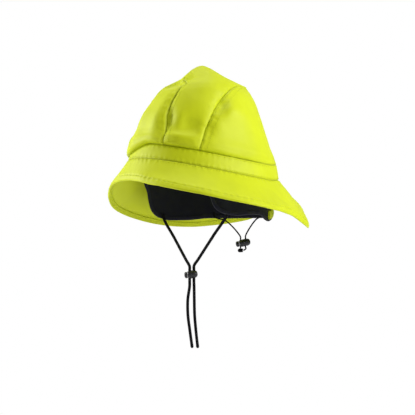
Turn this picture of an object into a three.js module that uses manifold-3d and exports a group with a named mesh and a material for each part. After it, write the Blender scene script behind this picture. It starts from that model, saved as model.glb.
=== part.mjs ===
// Sou'wester rain hat: four-panel crown, head band, sloping brim, ear and neck
// flap with a drawcord, chin cord. Millimetres, +Z up as worn, front of the hat
// towards -Y, wearer's left side towards +X, origin at the centre of the head
// band's lower edge.
import * as THREE from 'three';
import { mergeVertices } from 'three/addons/utils/BufferGeometryUtils.js';
import Module from 'manifold-3d';

// ---- sizes that drive the part ---------------------------------------------
const bandHalfLength = 101;     // outer half length, front to back, at the band's top edge
const bandHalfWidth = 87;       // outer half width, side to side, at the band's top edge
const bandHeight = 20;          // head band between crown and brim
const bandFlare = 5.8;          // how much wider the band's lower edge is
const bandLift = 12;            // how far the back of the band rides up
const crownHeight = 123;        // ridge peak above the band's top edge
const panelPuff = 4.4;          // how far a side panel swells between its seams
const frontPuff = 3.6;          // the same for the front panel
const brimReach = 60;           // widest outward reach of the brim
const brimDrop = 62;            // deepest drop of the brim's edge below the band
const flapDrop = 62;            // deepest point of the flap below the origin
const flapHalfWidth = 80;       // flap hem, side to side
const flapHalfLength = 100;     // flap hem, front to back
const cloth = 1.8;              // shell cloth wall
const hemCloth = 2.6;           // turned hem of the brim
const hemTurn = 11;             // width of the brim's edge that turns down
const hemCurl = 3.6;            // how far that edge turns down
const seamGap = 0.3;            // clearance between neighbouring pieces
const wearTilt = 10;            // degrees, front of the hat tipped up
const tunnelHeight = 12;        // drawcord tunnel strip at the nape
const chinCord = 4;             // chin cord diameter
const elastic = 2;              // nape drawcord diameter
const chinLockDrop = 134;       // chin cord lock below the origin
const chinTail = 99;            // lock centre to the ends of the chin cord
const napeLockDrop = 92;        // nape cord lock below the origin
const chinLock = { length: 18, diameter: 11.4, heading: 55, tilt: 8 };
const napeLock = { length: 20.5, diameter: 10.4, heading: 55, tilt: 12 };

// ---- tables: shares of the sizes above --------------------------------------
// crown rows: share of height, half length to the front, to the back, half width
const crownRows = [
  { up: 0.00, front: 1.000, back: 0.985, half: 0.990 },
  { up: 0.035, front: 1.036, back: 0.948, half: 1.000 },
  { up: 0.12, front: 1.004, back: 0.890, half: 0.968 },
  { up: 0.33, front: 0.960, back: 0.778, half: 0.875 },
  { up: 0.55, front: 0.876, back: 0.668, half: 0.740 },
  { up: 0.74, front: 0.765, back: 0.592, half: 0.579 },
  { up: 0.89, front: 0.566, back: 0.558, half: 0.314 },
  { up: 1.00, front: 0.530, back: 0.498, half: 0.000 },
];
// ridge line along the crown's middle: place along the half length, height share
const ridgeLine = [
  { along: -0.530, high: 0.833 }, { along: -0.42, high: 0.950 }, { along: -0.25, high: 1.027 },
  { along: 0.10, high: 0.976 }, { along: 0.498, high: 0.928 },
];
// seams between the panels: share of height, angle from the front in degrees
const frontSeam = [
  { up: 0.0, angle: 25.5 }, { up: 0.12, angle: 25 }, { up: 0.26, angle: 23.5 }, { up: 0.42, angle: 21.8 },
  { up: 0.55, angle: 22 }, { up: 0.65, angle: 23.3 }, { up: 0.75, angle: 24 }, { up: 0.84, angle: 23 },
  { up: 0.92, angle: 16 }, { up: 0.97, angle: 8 }, { up: 1.0, angle: 0 },
];
const backSeam = [
  { up: 0.0, angle: 54.8 }, { up: 0.064, angle: 55.5 }, { up: 0.224, angle: 57.7 }, { up: 0.337, angle: 60.7 },
  { up: 0.484, angle: 65.5 }, { up: 0.585, angle: 70.3 }, { up: 0.702, angle: 78.2 }, { up: 0.777, angle: 85.7 },
  { up: 0.874, angle: 104 }, { up: 0.94, angle: 128 }, { up: 1.0, angle: 180 },
];
// soft dents and folds in the crown: height share, angle, their extents, depth in mm
const dents = [
  { up: 0.50, angle: 71, tall: 0.12, wide: 5, depth: 3.0 },
  { up: 0.62, angle: 62, tall: 0.14, wide: 5, depth: 1.4 },
  { up: 0.32, angle: 27.5, tall: 0.13, wide: 4.5, depth: 2.6 },
  { up: 0.25, angle: 46, tall: 0.08, wide: 13, depth: 2.4 },
];
// lift of the band all round, a share of its lift at the back
const bandRise = [0.19, 0.01, -0.17, -0.15, 0.15, 0.86, 1.0, 0.74, 0.17, -0.07, -0.04, 0.16]
  .map((lift, i) => ({ angle: i * 30, lift }));
// brim all round: angle from the front, reach and drop shares of its edge, inward bow of its slope
const brimEdge = [
  { angle: 0, reach: 0.21, drop: 0.479, bow: 0.22 },
  { angle: 30, reach: 0.41, drop: 0.541, bow: 0.22 },
  { angle: 60, reach: 0.66, drop: 0.605, bow: 0.22 },
  { angle: 90, reach: 0.84, drop: 0.644, bow: 0.20 },
  { angle: 120, reach: 0.67, drop: 0.669, bow: 0.06 },
  { angle: 150, reach: 0.88, drop: 0.894, bow: -0.08 },
  { angle: 180, reach: 0.80, drop: 0.241, bow: -0.04 },
  { angle: 210, reach: 0.92, drop: 0.675, bow: 0.12 },
  { angle: 240, reach: 0.76, drop: 0.914, bow: 0.22 },
  { angle: 270, reach: 0.64, drop: 0.963, bow: 0.22 },
  { angle: 300, reach: 0.59, drop: 0.858, bow: 0.22 },
  { angle: 330, reach: 0.37, drop: 0.555, bow: 0.22 },
];
// flap front edge: share of the way down, angle from the front
const flapFront = [
  { down: 0.0, angle: 58 }, { down: 0.35, angle: 61 }, { down: 0.5, angle: 64.6 }, { down: 0.7, angle: 66.5 },
  { down: 0.83, angle: 68.5 }, { down: 0.93, angle: 72 }, { down: 1.0, angle: 78 },
];
// flap hem: angle from the front, share of the drop
const flapHem = [
  { angle: 78, drop: 0.85 }, { angle: 90, drop: 0.885 }, { angle: 100, drop: 0.862 }, { angle: 110, drop: 0.857 },
  { angle: 116, drop: 0.89 }, { angle: 122, drop: 0.97 }, { angle: 130, drop: 1.0 }, { angle: 140, drop: 0.985 },
  { angle: 152, drop: 0.95 }, { angle: 180, drop: 0.92 }, { angle: 215, drop: 0.92 },
  { angle: 235, drop: 0.92 }, { angle: 255, drop: 0.965 }, { angle: 270, drop: 0.97 }, { angle: 282, drop: 0.91 },
];

// ---- small helpers -----------------------------------------------------------
const rad = (d) => d * Math.PI / 180;
const lerp = (a, b, s) => a + (b - a) * s;
const clamp = (v, a, b) => Math.min(b, Math.max(a, v));
const V = (x, y, z) => new THREE.Vector3(x, y, z);

/** Monotone cubic through a table of rows: value of column `col` where `key` is x. */
function along(table, key, col, x) {
  const n = table.length - 1;
  const q = clamp(x, table[0][key], table[n][key]);
  let i = 0;
  while (i < n - 1 && q > table[i + 1][key]) i += 1;
  const slope = (j) => {
    if (j < 0 || j >= n) return null;
    return (table[j + 1][col] - table[j][col]) / (table[j + 1][key] - table[j][key]);
  };
  const tangent = (j) => {
    const a = slope(j - 1);
    const b = slope(j);
    if (a === null) return b;
    if (b === null) return a;
    return a * b <= 0 ? 0 : (2 * a * b) / (a + b);
  };
  const h = table[i + 1][key] - table[i][key];
  const s = (q - table[i][key]) / h;
  const s2 = s * s;
  const s3 = s2 * s;
  return (2 * s3 - 3 * s2 + 1) * table[i][col] + (s3 - 2 * s2 + s) * h * tangent(i)
    + (3 * s2 - 2 * s3) * table[i + 1][col] + (s3 - s2) * h * tangent(i + 1);
}

/** Smooth periodic value of a table given at even angles. */
function round(table, col, angle) {
  const n = table.length;
  const step = 360 / n;
  const f = ((angle % 360) + 360) % 360 / step;
  const i = Math.floor(f);
  const s = f - i;
  const p = [-1, 0, 1, 2].map((k) => table[(i + k + n) % n][col]);
  return 0.5 * ((2 * p[1]) + (p[2] - p[0]) * s + (2 * p[0] - 5 * p[1] + 4 * p[2] - p[3]) * s * s
    + (3 * p[1] - p[0] - 3 * p[2] + p[3]) * s * s * s);
}

/** Tips the hat as it is worn: the front goes up. */
function worn(p) {
  const c = Math.cos(rad(wearTilt));
  const s = Math.sin(rad(wearTilt));
  return V(p.x, p.y * c + p.z * s, -p.y * s + p.z * c);
}

/** Oval outline point at an angle from the front. */
function oval(front, back, half, angle) {
  const c = Math.cos(rad(angle));
  return [half * Math.sin(rad(angle)), c > 0 ? -front * c : -back * c];
}

/** Closed solid between two grids of points, `ring` joins the last column to the first. */
function shell(outer, inner, ring) {
  const rows = outer.length;
  const cols = outer[0].length;
  const at = (r, c, side) => (side * rows + r) * cols + c;
  const position = [];
  for (const grid of [outer, inner]) for (const row of grid) for (const p of row) position.push(p.x, p.y, p.z);
  const index = [];
  const quad = (a, b, c, d) => index.push(a, b, c, a, c, d);
  const last = ring ? cols : cols - 1;
  for (let r = 0; r < rows - 1; r += 1) {
    for (let c = 0; c < last; c += 1) {
      const e = (c + 1) % cols;
      quad(at(r, c, 0), at(r, e, 0), at(r + 1, e, 0), at(r + 1, c, 0));
      quad(at(r, c, 1), at(r + 1, c, 1), at(r + 1, e, 1), at(r, e, 1));
    }
  }
  for (let c = 0; c < last; c += 1) {
    const e = (c + 1) % cols;
    quad(at(0, c, 0), at(0, c, 1), at(0, e, 1), at(0, e, 0));
    quad(at(rows - 1, c, 0), at(rows - 1, e, 0), at(rows - 1, e, 1), at(rows - 1, c, 1));
  }
  if (!ring) {
    for (let r = 0; r < rows - 1; r += 1) {
      quad(at(r, 0, 0), at(r + 1, 0, 0), at(r + 1, 0, 1), at(r, 0, 1));
      quad(at(r, cols - 1, 0), at(r, cols - 1, 1), at(r + 1, cols - 1, 1), at(r + 1, cols - 1, 0));
    }
  }
  const g = new THREE.BufferGeometry();
  g.setAttribute('position', new THREE.Float32BufferAttribute(position, 3));
  g.setIndex(index);
  return facingOut(g);
}

/** Turns every face outwards when the enclosed volume comes out negative. */
function facingOut(g) {
  const p = g.getAttribute('position');
  const ix = g.getIndex();
  const a = V(); const b = V(); const c = V();
  let volume = 0;
  for (let i = 0; i < ix.count; i += 3) {
    a.fromBufferAttribute(p, ix.getX(i));
    b.fromBufferAttribute(p, ix.getX(i + 1));
    c.fromBufferAttribute(p, ix.getX(i + 2));
    volume += a.dot(b.cross(c));
  }
  if (volume < 0) {
    for (let i = 0; i < ix.count; i += 3) {
      const t = ix.getX(i + 1);
      ix.setX(i + 1, ix.getX(i + 2));
      ix.setX(i + 2, t);
    }
  }
  return g;
}

const colours = {
  shell: 0xd5e235, shade: 0xc9d62c, flap: 0x1f2433, cord: 0x1c1c1e, lock: 0x35363a,
};
const group = new THREE.Group();
group.name = 'sou_wester_hat';
function add(name, geometry, colour, roughness = 0.75) {
  const g = geometry;
  g.computeVertexNormals();
  const mesh = new THREE.Mesh(g, new THREE.MeshStandardMaterial({ color: colour, roughness, metalness: 0 }));
  mesh.name = name;
  group.add(mesh);
}

/** Height by which the band and what is sewn to it ride up at an angle. */
const lifted = (angle) => bandLift * round(bandRise, 'lift', angle);

// ---- crown ---------------------------------------------------------------------
/** Height of the ridge above the band's top edge over a place along the hat. */
function ridgeHeight(y) {
  return crownHeight * along(ridgeLine, 'along', 'high', y / bandHalfLength);
}

/** Plain crown surface at a share of height and an angle, hat's own frame. */
function crownBase(up, angle) {
  const top = crownRows[crownRows.length - 1];
  const [x, y] = oval(
    bandHalfLength * along(crownRows, 'up', 'front', up),
    bandHalfLength * along(crownRows, 'up', 'back', up),
    bandHalfWidth * along(crownRows, 'up', 'half', up), angle);
  const [, ridgeY] = oval(bandHalfLength * top.front, bandHalfLength * top.back, 0, angle);
  return V(x, y, bandHeight + seamGap + up * (ridgeHeight(ridgeY) - seamGap) + lifted(angle) * (1 - up) ** 2);
}

/** Outward direction of the plain crown surface; upright along the ridge, level at the foot. */
function crownNormal(up, angle) {
  const e = 0.01;
  const lo = Math.max(0, up - e);
  const hi = Math.min(1, up + e);
  const du = crownBase(hi, angle).sub(crownBase(lo, angle));
  const da = crownBase(Math.min(up, 0.995), angle + 1).sub(crownBase(Math.min(up, 0.995), angle - 1));
  const n = da.cross(du).normalize();
  const p = crownBase(up, angle);
  n.x *= clamp(Math.abs(p.x) / 8, 0, 1);
  n.z *= clamp(up * 20, 0, 1);   // level at the foot, where it stands on the band
  return n.normalize();
}

/** How far the cloth stands off the plain surface: dents beside the seams. */
function dentDepth(up, angle) {
  const a = angle > 180 ? 360 - angle : angle;
  return dents.reduce((sum, d) => sum + d.depth
    * Math.exp(-(((up - d.up) / d.tall) ** 2) - (((a - d.angle) / d.wide) ** 2)), 0);
}

/**
 * One crown panel between two seams. `from` and `to` give the seam angle at a
 * height, `rows` the heights, `puff` how far the middle of the panel swells,
 * `side` +1 or -1 for a panel that meets its twin along the ridge.
 */
function crownPanel(from, to, rows, cols, puff, side = 0) {
  const outer = [];
  const inner = [];
  for (const up of rows) {
    const a = from(up);
    const b = to(up);
    const width = crownBase(up, (a + b) / 2 + (b - a) / 2 * 0.98)
      .distanceTo(crownBase(up, (a + b) / 2)) * 2 + 0.001;
    const inset = clamp((seamGap / 2) * (b - a) / width, 0, (b - a) * 0.3);
    const o = [];
    const n = [];
    for (let c = 0; c <= cols; c += 1) {
      const u = c / cols;
      const angle = lerp(a + inset, b - inset, u);
      const normal = crownNormal(up, angle);
      const edge = Math.min(u, 1 - u, 0.5) * width;
      const swell = puff * (1 - Math.exp(-edge / 9)) * clamp((1 - up) * 3.2, 0, 1) * clamp(up * 12, 0, 1)
        * clamp(width / 30, 0, 1);
      const p = crownBase(up, angle);
      if (side !== 0 && p.x * side < seamGap / 2) p.x = side * seamGap / 2;
      const out = p.clone().addScaledVector(normal, swell - dentDepth(up, angle));
      o.push(worn(out));
      n.push(worn(out.clone().addScaledVector(normal, -cloth)));
    }
    outer.push(o);
    inner.push(n);
  }
  return shell(outer, inner, false);
}

const heights = (n, top, bias) => Array.from({ length: n + 1 }, (_, i) => top * (1 - (1 - i / n) ** bias));
const seamAt = (seam) => (up) => along(seam, 'up', 'angle', up);
const mirrored = (f) => (up) => 360 - f(up);
const s1 = seamAt(frontSeam);
const s2 = seamAt(backSeam);
const panelRows = heights(20, 1, 1.3);   // the side and back panels share their rows along the back seams
add('crown_left_panel', crownPanel(s1, s2, panelRows, 12, panelPuff, 1), colours.shell);
add('crown_right_panel', crownPanel(mirrored(s2), mirrored(s1), panelRows, 12, panelPuff, -1), colours.shell);
add('crown_front_panel', crownPanel((u) => -s1(u), s1, heights(16, 0.98, 1.15), 6, frontPuff), colours.shell);
add('crown_back_panel', crownPanel(s2, mirrored(s2), [...panelRows.slice(0, -1), 0.985], 28, 1.2), colours.shell);

// ---- head band -------------------------------------------------------------------
/** Outer face of the band at a share of its height (0 at the brim). */
function bandPoint(share, angle, inward = 0) {
  const grow = bandFlare * (1 - share) - inward + 0.6 * Math.sin(Math.PI * share);
  const [x, y] = oval(bandHalfLength + grow, bandHalfLength + grow, bandHalfWidth + grow, angle);
  return V(x, y, bandHeight * share + lifted(angle));
}
const around = (n) => Array.from({ length: n }, (_, i) => i * 360 / n);
{
  const outer = [0, 0.3, 0.7, 1].map((s) => around(64).map((a) => worn(bandPoint(s, a))));
  const inner = [0, 0.3, 0.7, 1].map((s) => around(64).map((a) => worn(bandPoint(s, a, cloth))));
  add('head_band', shell(outer, inner, true), colours.shell);
}

// ---- brim --------------------------------------------------------------------------
/** Brim surface: share of the way out, angle, depth below the outer face. */
function brimPoint(out, angle, inward = 0) {
  const grow = bandFlare;
  const [x, y] = oval(bandHalfLength + grow, bandHalfLength + grow, bandHalfWidth + grow, angle);
  const nx = Math.sin(rad(angle)) / (bandHalfWidth + grow);
  const ny = -Math.cos(rad(angle)) / (bandHalfLength + grow);
  const m = Math.hypot(nx, ny);
  const reach = brimReach * round(brimEdge, 'reach', angle);
  const drop = brimDrop * round(brimEdge, 'drop', angle);
  const slope = Math.hypot(reach, drop);
  const bow = round(brimEdge, 'bow', angle) * out * (1 - out);
  const under = inward + hemCurl * clamp(1 - (1 - out) * slope / hemTurn, 0, 1) ** 1.5;
  const r = reach * (out - bow) - under * drop / slope;
  const d = drop * (out + bow) + under * reach / slope;
  return V(x + nx / m * r, y + ny / m * r, lifted(angle) - seamGap - d);
}
{
  const shares = [0, 0.24, 0.53, 0.81, 0.87, 0.94, 1];
  const wall = (s) => (s > 0.84 ? hemCloth : cloth);
  const outer = shares.map((s) => around(64).map((a) => worn(brimPoint(s, a))));
  const inner = shares.map((s) => around(64).map((a) => worn(brimPoint(s, a, wall(s)))));
  add('brim', shell(outer, inner, true), colours.shell);
}

// ---- ear and neck flap -----------------------------------------------------------------
/** Flap middle surface in the worn frame: share down, angle, offset outwards. */
function flapPoint(down, angle, outward = 0) {
  const inset = cloth * 1.5 + seamGap;
  const top = worn(bandPoint(0.35, angle, inset));
  const [hx, hy] = oval(flapHalfLength, flapHalfLength, flapHalfWidth, angle);
  const hem = V(hx, hy, -flapDrop * along(flapHem, 'angle', 'drop', angle));
  const p = top.clone().lerp(hem, down);
  const ripple = 1.6 * Math.sin(rad(angle * 7)) * down * down;
  const nx = Math.sin(rad(angle)) / flapHalfWidth;
  const ny = -Math.cos(rad(angle)) / flapHalfLength;
  const m = Math.hypot(nx, ny);
  const r = outward + ripple - 3 * Math.sin(Math.PI * down) * 0.6;
  return V(p.x + nx / m * r, p.y + ny / m * r, p.z);
}
{
  const shares = [0, 0.14, 0.32, 0.52, 0.7, 0.84, 0.94, 1];
  const cols = 40;
  const side = (offset) => shares.map((s) => {
    const a = along(flapFront, 'down', 'angle', s);
    return Array.from({ length: cols + 1 }, (_, c) => flapPoint(s, lerp(a, 360 - a, c / cols), offset));
  });
  add('ear_neck_flap', shell(side(cloth / 2), side(-cloth / 2), false), colours.flap);
}

// ---- drawcord tunnel on the outside of the nape ------------------------------------------
{
  const hem = 0.97;
  const high = hem - tunnelHeight / flapDrop;
  const shares = [0, 0.5, 1].map((s) => lerp(high, hem, s));
  const swell = (s) => 1.2 * Math.sin(Math.PI * (s - high) / (hem - high));
  const angles = Array.from({ length: 25 }, (_, c) => lerp(128, 232, c / 24));
  const base = cloth / 2 + seamGap;
  const outer = shares.map((s) => angles.map((a) => flapPoint(s, a, base + 1.4 + swell(s))));
  const inner = shares.map((s) => angles.map((a) => flapPoint(s, a, base)));
  add('drawcord_tunnel', shell(outer, inner, false), colours.shade);
}

// ---- cord locks ------------------------------------------------------------------------
const wasm = await Module();
wasm.setup();
function solid(geometry) {
  const g = geometry.clone();
  g.deleteAttribute('normal');
  g.deleteAttribute('uv');
  const m = mergeVertices(g, 1e-4);
  return new wasm.Manifold(new wasm.Mesh({
    numProp: 3,
    vertProperties: new Float32Array(m.getAttribute('position').array),
    triVerts: new Uint32Array(m.getIndex().array),
  }));
}
function geometryOf(manifold) {
  const m = manifold.getMesh();
  const g = new THREE.BufferGeometry();
  g.setAttribute('position', new THREE.Float32BufferAttribute(Array.from(m.vertProperties), 3));
  g.setIndex(Array.from(m.triVerts));
  return g;
}

/** Places a shape made along +Y so that it lies along the lock's axis. */
function lockFrame(lock, centre) {
  const axis = V(Math.cos(rad(lock.heading)), Math.sin(rad(lock.heading)), Math.tan(rad(lock.tilt))).normalize();
  const turn = new THREE.Quaternion().setFromUnitVectors(V(0, 1, 0), axis);
  return { axis, matrix: new THREE.Matrix4().compose(centre, turn, V(1, 1, 1)) };
}

/** Barrel and button of a spring cord lock, with a bore for each cord run. */
function cordLock(name, lock, centre, bores, bore) {
  const { axis, matrix } = lockFrame(lock, centre);
  const half = lock.length / 2;
  const r = lock.diameter / 2;
  const split = -half + lock.length * 0.24;
  const barrel = new THREE.LatheGeometry([
    new THREE.Vector2(0, split), new THREE.Vector2(r * 0.86, split), new THREE.Vector2(r * 0.92, split + 0.8),
    new THREE.Vector2(r * 0.86, split + 2), new THREE.Vector2(r * 0.84, half - 5.2), new THREE.Vector2(r * 0.97, half - 3.6),
    new THREE.Vector2(r, half - 2.2), new THREE.Vector2(r * 0.84, half - 0.7), new THREE.Vector2(r * 0.5, half), new THREE.Vector2(0, half),
  ], 16);
  const button = new THREE.LatheGeometry([
    new THREE.Vector2(0, -half), new THREE.Vector2(r * 0.5, -half), new THREE.Vector2(r * 0.86, -half + 0.8),
    new THREE.Vector2(r * 0.97, -half + 2.2), new THREE.Vector2(r * 0.9, split - seamGap), new THREE.Vector2(0, split - seamGap),
  ], 16);
  let body = solid(barrel.applyMatrix4(matrix));
  for (const at of bores) {
    const drill = new THREE.CylinderGeometry(bore / 2, bore / 2, lock.diameter * 2, 12);
    drill.rotateX(Math.PI / 2);
    const p = centre.clone().addScaledVector(axis, at);
    drill.translate(p.x, p.y, p.z);
    body = body.subtract(solid(drill));
  }
  add(`${name}_barrel`, geometryOf(body), colours.lock, 0.5);
  add(`${name}_button`, geometryOf(solid(button.applyMatrix4(matrix))), colours.lock, 0.5);
  return bores.map((at) => centre.clone().addScaledVector(axis, at));
}

/** Curve through a cord's points whose even steps fall on the points and evenly between them. */
class CordPath extends THREE.CatmullRomCurve3 {
  constructor(points, spacing) {
    super(points, false, 'centripetal');
    const spans = points.length - 1;
    this.stops = [];
    for (let i = 0; i < spans; i += 1) {
      const parts = Math.max(1, Math.round(points[i].distanceTo(points[i + 1]) / spacing));
      for (let j = 0; j < parts; j += 1) this.stops.push((i + j / parts) / spans);
    }
    this.stops.push(1);
  }

  getUtoTmapping(u) {
    const last = this.stops.length - 1;
    const f = clamp(u, 0, 1) * last;
    const i = Math.min(Math.floor(f), last - 1);
    return lerp(this.stops[i], this.stops[i + 1], f - i);
  }
}

/** Round cord of a diameter along a list of points. */
function cord(name, points, diameter, sides) {
  const section = new THREE.Shape(Array.from({ length: sides }, (_, i) => new THREE.Vector2(
    Math.cos(i * 2 * Math.PI / sides) * diameter / 2, Math.sin(i * 2 * Math.PI / sides) * diameter / 2)));
  const path = new CordPath(points, 3 * diameter);
  const g = new THREE.ExtrudeGeometry(section, { steps: path.stops.length - 1, bevelEnabled: false, extrudePath: path });
  g.deleteAttribute('normal');
  g.deleteAttribute('uv');
  add(name, mergeVertices(g, 1e-4), colours.cord, 0.85);
}

const chinCentre = V(-1.3, -18.9, -chinLockDrop);
const boreSlack = 1.2;
const chinPitch = (chinCord + boreSlack) / 2 + 0.3;
const [chinBoreR, chinBoreL] = cordLock('chin_lock', chinLock, chinCentre,
  [1.1 - chinPitch, 1.1 + chinPitch], chinCord + boreSlack);
/** Where a cord leaves the inner face of the flap, and the point below it at the hem. */
function flapExit(angle, down, thick) {
  const off = -(cloth + thick) / 2 - seamGap - 0.6;
  return [flapPoint(down, angle, off), flapPoint(down + 0.1, angle, off - 0.3)];
}
// cord ends below the chin lock: sideways and backward drift in mm, share of the tail
const tailR = [[-0.4, 0.2, 0.16], [-1.2, -2.2, 0.34], [-1.5, -1.8, 0.55], [-1.3, 1.2, 0.76], [-1.0, 4.9, 1.0]];
const tailL = [[0.4, 0.0, 0.16], [0.7, 0.1, 0.34], [0.8, 0.6, 0.55], [0.9, 2.6, 0.76], [0.9, 5.7, 1.0]];
/** Chin cord from the flap's front corner through its bore to the free end. */
function chinRun(angle, bore, tail) {
  const [p, q] = flapExit(angle, 0.9, chinCord);
  const straight = [0.95, 0.62, -0.62, -0.9].map((k) => bore.clone().add(V(0, 0, chinLock.diameter * k)));
  const run = [p, q, q.clone().lerp(straight[0], 0.4), q.clone().lerp(straight[0], 0.86), ...straight];
  for (const [dx, dy, s] of tail) run.push(V(bore.x + dx, bore.y + dy, -chinLockDrop - chinTail * s));
  return run;
}
cord('chin_cord_left', chinRun(82, chinBoreL, tailL), chinCord, 8);
cord('chin_cord_right', chinRun(278, chinBoreR, tailR), chinCord, 8);

// ---- nape drawcord and its lock ---------------------------------------------------------
const napeCentre = V(-0.8, 67.9, -napeLockDrop);
const [napeBoreR, napeBoreL] = cordLock('nape_lock', napeLock, napeCentre, [-3.6, 3.4], elastic + boreSlack);
const knotCentre = napeBoreR.clone().add(V(0, 0, -9.5));
const knotSize = 3;
/** Drawcord from the flap through its bore to the knot below the lock. */
function napeRun(angle, down, bore, ending) {
  const [p, q] = flapExit(angle, down, elastic);
  const straight = [0.85, 0.62, -0.62].map((k) => bore.clone().add(V(0, 0, napeLock.diameter * k)));
  const sag = q.clone().lerp(straight[0], 0.5);
  sag.z = lerp(q.z, straight[0].z, 0.27);
  return [p, q, sag, ...straight, ...ending];
}
cord('nape_cord_left', napeRun(130, 0.74, napeBoreL, [
  V(napeBoreL.x + 0.6, napeBoreL.y + 0.4, napeBoreL.z - 8), V(napeBoreL.x - 0.6, napeBoreL.y - 1.6, napeBoreL.z - 10.4),
  knotCentre.clone().add(V((knotSize * 1.1 + 0.9) * 0.57, (knotSize * 1.1 + 0.9) * 0.82, 0.2))]), elastic, 8);
cord('nape_cord_right', napeRun(231.5, 0.86, napeBoreR, [
  knotCentre.clone().add(V(0, 0, knotSize * 0.8 + 0.35))]), elastic, 8);
{
  const knot = new THREE.SphereGeometry(knotSize, 12, 8);
  knot.scale(1.1, 1.1, 0.8);
  knot.translate(knotCentre.x, knotCentre.y, knotCentre.z);
  add('nape_cord_knot', mergeVertices(knot.deleteAttribute('normal').deleteAttribute('uv'), 1e-4), colours.cord, 0.85);
}

export default group;
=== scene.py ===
"""Sou'wester rain hat in hi-vis softshell, dressed for its portrait.

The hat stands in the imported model's frame: metres, +Z up as worn, the front
towards -Y, the wearer's left side towards +X, the origin at the middle of the
head band's lower edge. Forms are worked out in millimetres and turned into
metres where a mesh is made.
"""

from __future__ import annotations

import logging
import math
from dataclasses import dataclass, field
from enum import Enum
from typing import Any, Callable, Sequence

import bpy
import bmesh
import numpy as np
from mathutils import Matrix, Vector, noise


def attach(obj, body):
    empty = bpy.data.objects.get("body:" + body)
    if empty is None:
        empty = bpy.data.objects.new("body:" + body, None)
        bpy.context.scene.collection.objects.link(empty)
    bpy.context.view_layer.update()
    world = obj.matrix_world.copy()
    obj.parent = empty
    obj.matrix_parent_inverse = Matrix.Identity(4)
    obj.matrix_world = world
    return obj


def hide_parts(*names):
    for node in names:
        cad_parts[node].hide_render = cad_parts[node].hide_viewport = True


LOG = logging.getLogger("souwester")
MM = 0.001
ROOT = "root"
Array = np.ndarray
THREAD_LIFT = 0.12

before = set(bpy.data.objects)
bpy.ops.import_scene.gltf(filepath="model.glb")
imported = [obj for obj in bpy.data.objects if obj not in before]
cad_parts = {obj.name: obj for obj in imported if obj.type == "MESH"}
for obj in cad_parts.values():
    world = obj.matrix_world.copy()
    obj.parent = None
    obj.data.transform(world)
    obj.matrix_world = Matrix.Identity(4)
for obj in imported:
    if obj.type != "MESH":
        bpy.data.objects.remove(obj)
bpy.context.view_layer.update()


# ---------------------------------------------------------------------------
# curves through short tables
# ---------------------------------------------------------------------------
@dataclass(frozen=True)
class Profile:
    """Monotone cubic through a short table of key and value."""

    keys: tuple[float, ...]
    values: tuple[float, ...]

    def at(self, x: Any) -> Array:
        """Value at x, held at the ends.

        Args:
            x: a number or an array of numbers.

        Returns:
            The values, in the shape of x.
        """
        k, v = np.array(self.keys, float), np.array(self.values, float)
        q = np.clip(np.asarray(x, float), k[0], k[-1])
        i = np.clip(np.searchsorted(k, q, side="left") - 1, 0, len(k) - 2)
        slope = np.diff(v) / np.diff(k)
        tangent = np.empty(len(k))
        tangent[0], tangent[-1] = slope[0], slope[-1]
        a, b = slope[:-1], slope[1:]
        with np.errstate(divide="ignore", invalid="ignore"):
            tangent[1:-1] = np.where(a * b <= 0, 0.0, 2 * a * b / (a + b))
        h = k[i + 1] - k[i]
        s = (q - k[i]) / h
        return (
            (2 * s**3 - 3 * s**2 + 1) * v[i]
            + (s**3 - 2 * s**2 + s) * h * tangent[i]
            + (3 * s**2 - 2 * s**3) * v[i + 1]
            + (s**3 - s**2) * h * tangent[i + 1]
        )


@dataclass(frozen=True)
class Around:
    """Smooth closed curve through values at even angles from the front."""

    values: tuple[float, ...]

    def at(self, angle: Any) -> Array:
        """Value at an angle.

        Args:
            angle: degrees from the front, as a number or an array of numbers.

        Returns:
            The values, in the shape of angle.
        """
        v = np.array(self.values, float)
        n = len(v)
        f = np.mod(np.asarray(angle, float), 360.0) / (360.0 / n)
        i = np.floor(f).astype(int) % n
        s = f - np.floor(f)
        p0, p1, p2, p3 = (v[(i + d) % n] for d in (-1, 0, 1, 2))
        return 0.5 * (
            2 * p1 + (p2 - p0) * s + (2 * p0 - 5 * p1 + 4 * p2 - p3) * s**2
            + (3 * p1 - p0 - 3 * p2 + p3) * s**3
        )


def unit(v: Array) -> Array:
    """Vectors along the last axis, made one long."""
    return v / np.maximum(np.linalg.norm(v, axis=-1, keepdims=True), 1e-9)


def stack(x: Any, y: Any, z: Any) -> Array:
    """Three arrays of coordinates as one array of points."""
    return np.stack(np.broadcast_arrays(x, y, z), -1).astype(float)


def ripple(points: Array, size: float, seed: float) -> Array:
    """Smooth noise between about -1 and 1.

    Args:
        points: places in millimetres.
        size: how far apart the swells are, in millimetres.
        seed: shifts the pattern.

    Returns:
        One value for each point.
    """
    flat = points.reshape(-1, 3) / size + seed * 7.31
    return np.array([noise.noise(Vector(p)) for p in flat]).reshape(points.shape[:-1])


def bell(distance: Any, width: float) -> Array:
    """Smooth hump: 1 at no distance, about a third at `width`."""
    return np.exp(-((distance / width) ** 2))


def ramp(distance: Any, length: float) -> Array:
    """Straight rise from 0 to 1 over a length, held at both ends."""
    return np.clip(np.asarray(distance) / length, 0, 1)


def eased(count: int) -> Array:
    """Shares from 0 to 1 that lie closer together towards both ends."""
    return 0.5 - 0.5 * np.cos(np.pi * np.linspace(0, 1, count))


def signed(angle: Any) -> Array:
    """An angle in degrees, brought between -180 and 180."""
    return np.mod(np.asarray(angle, float) + 180, 360) - 180


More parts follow.
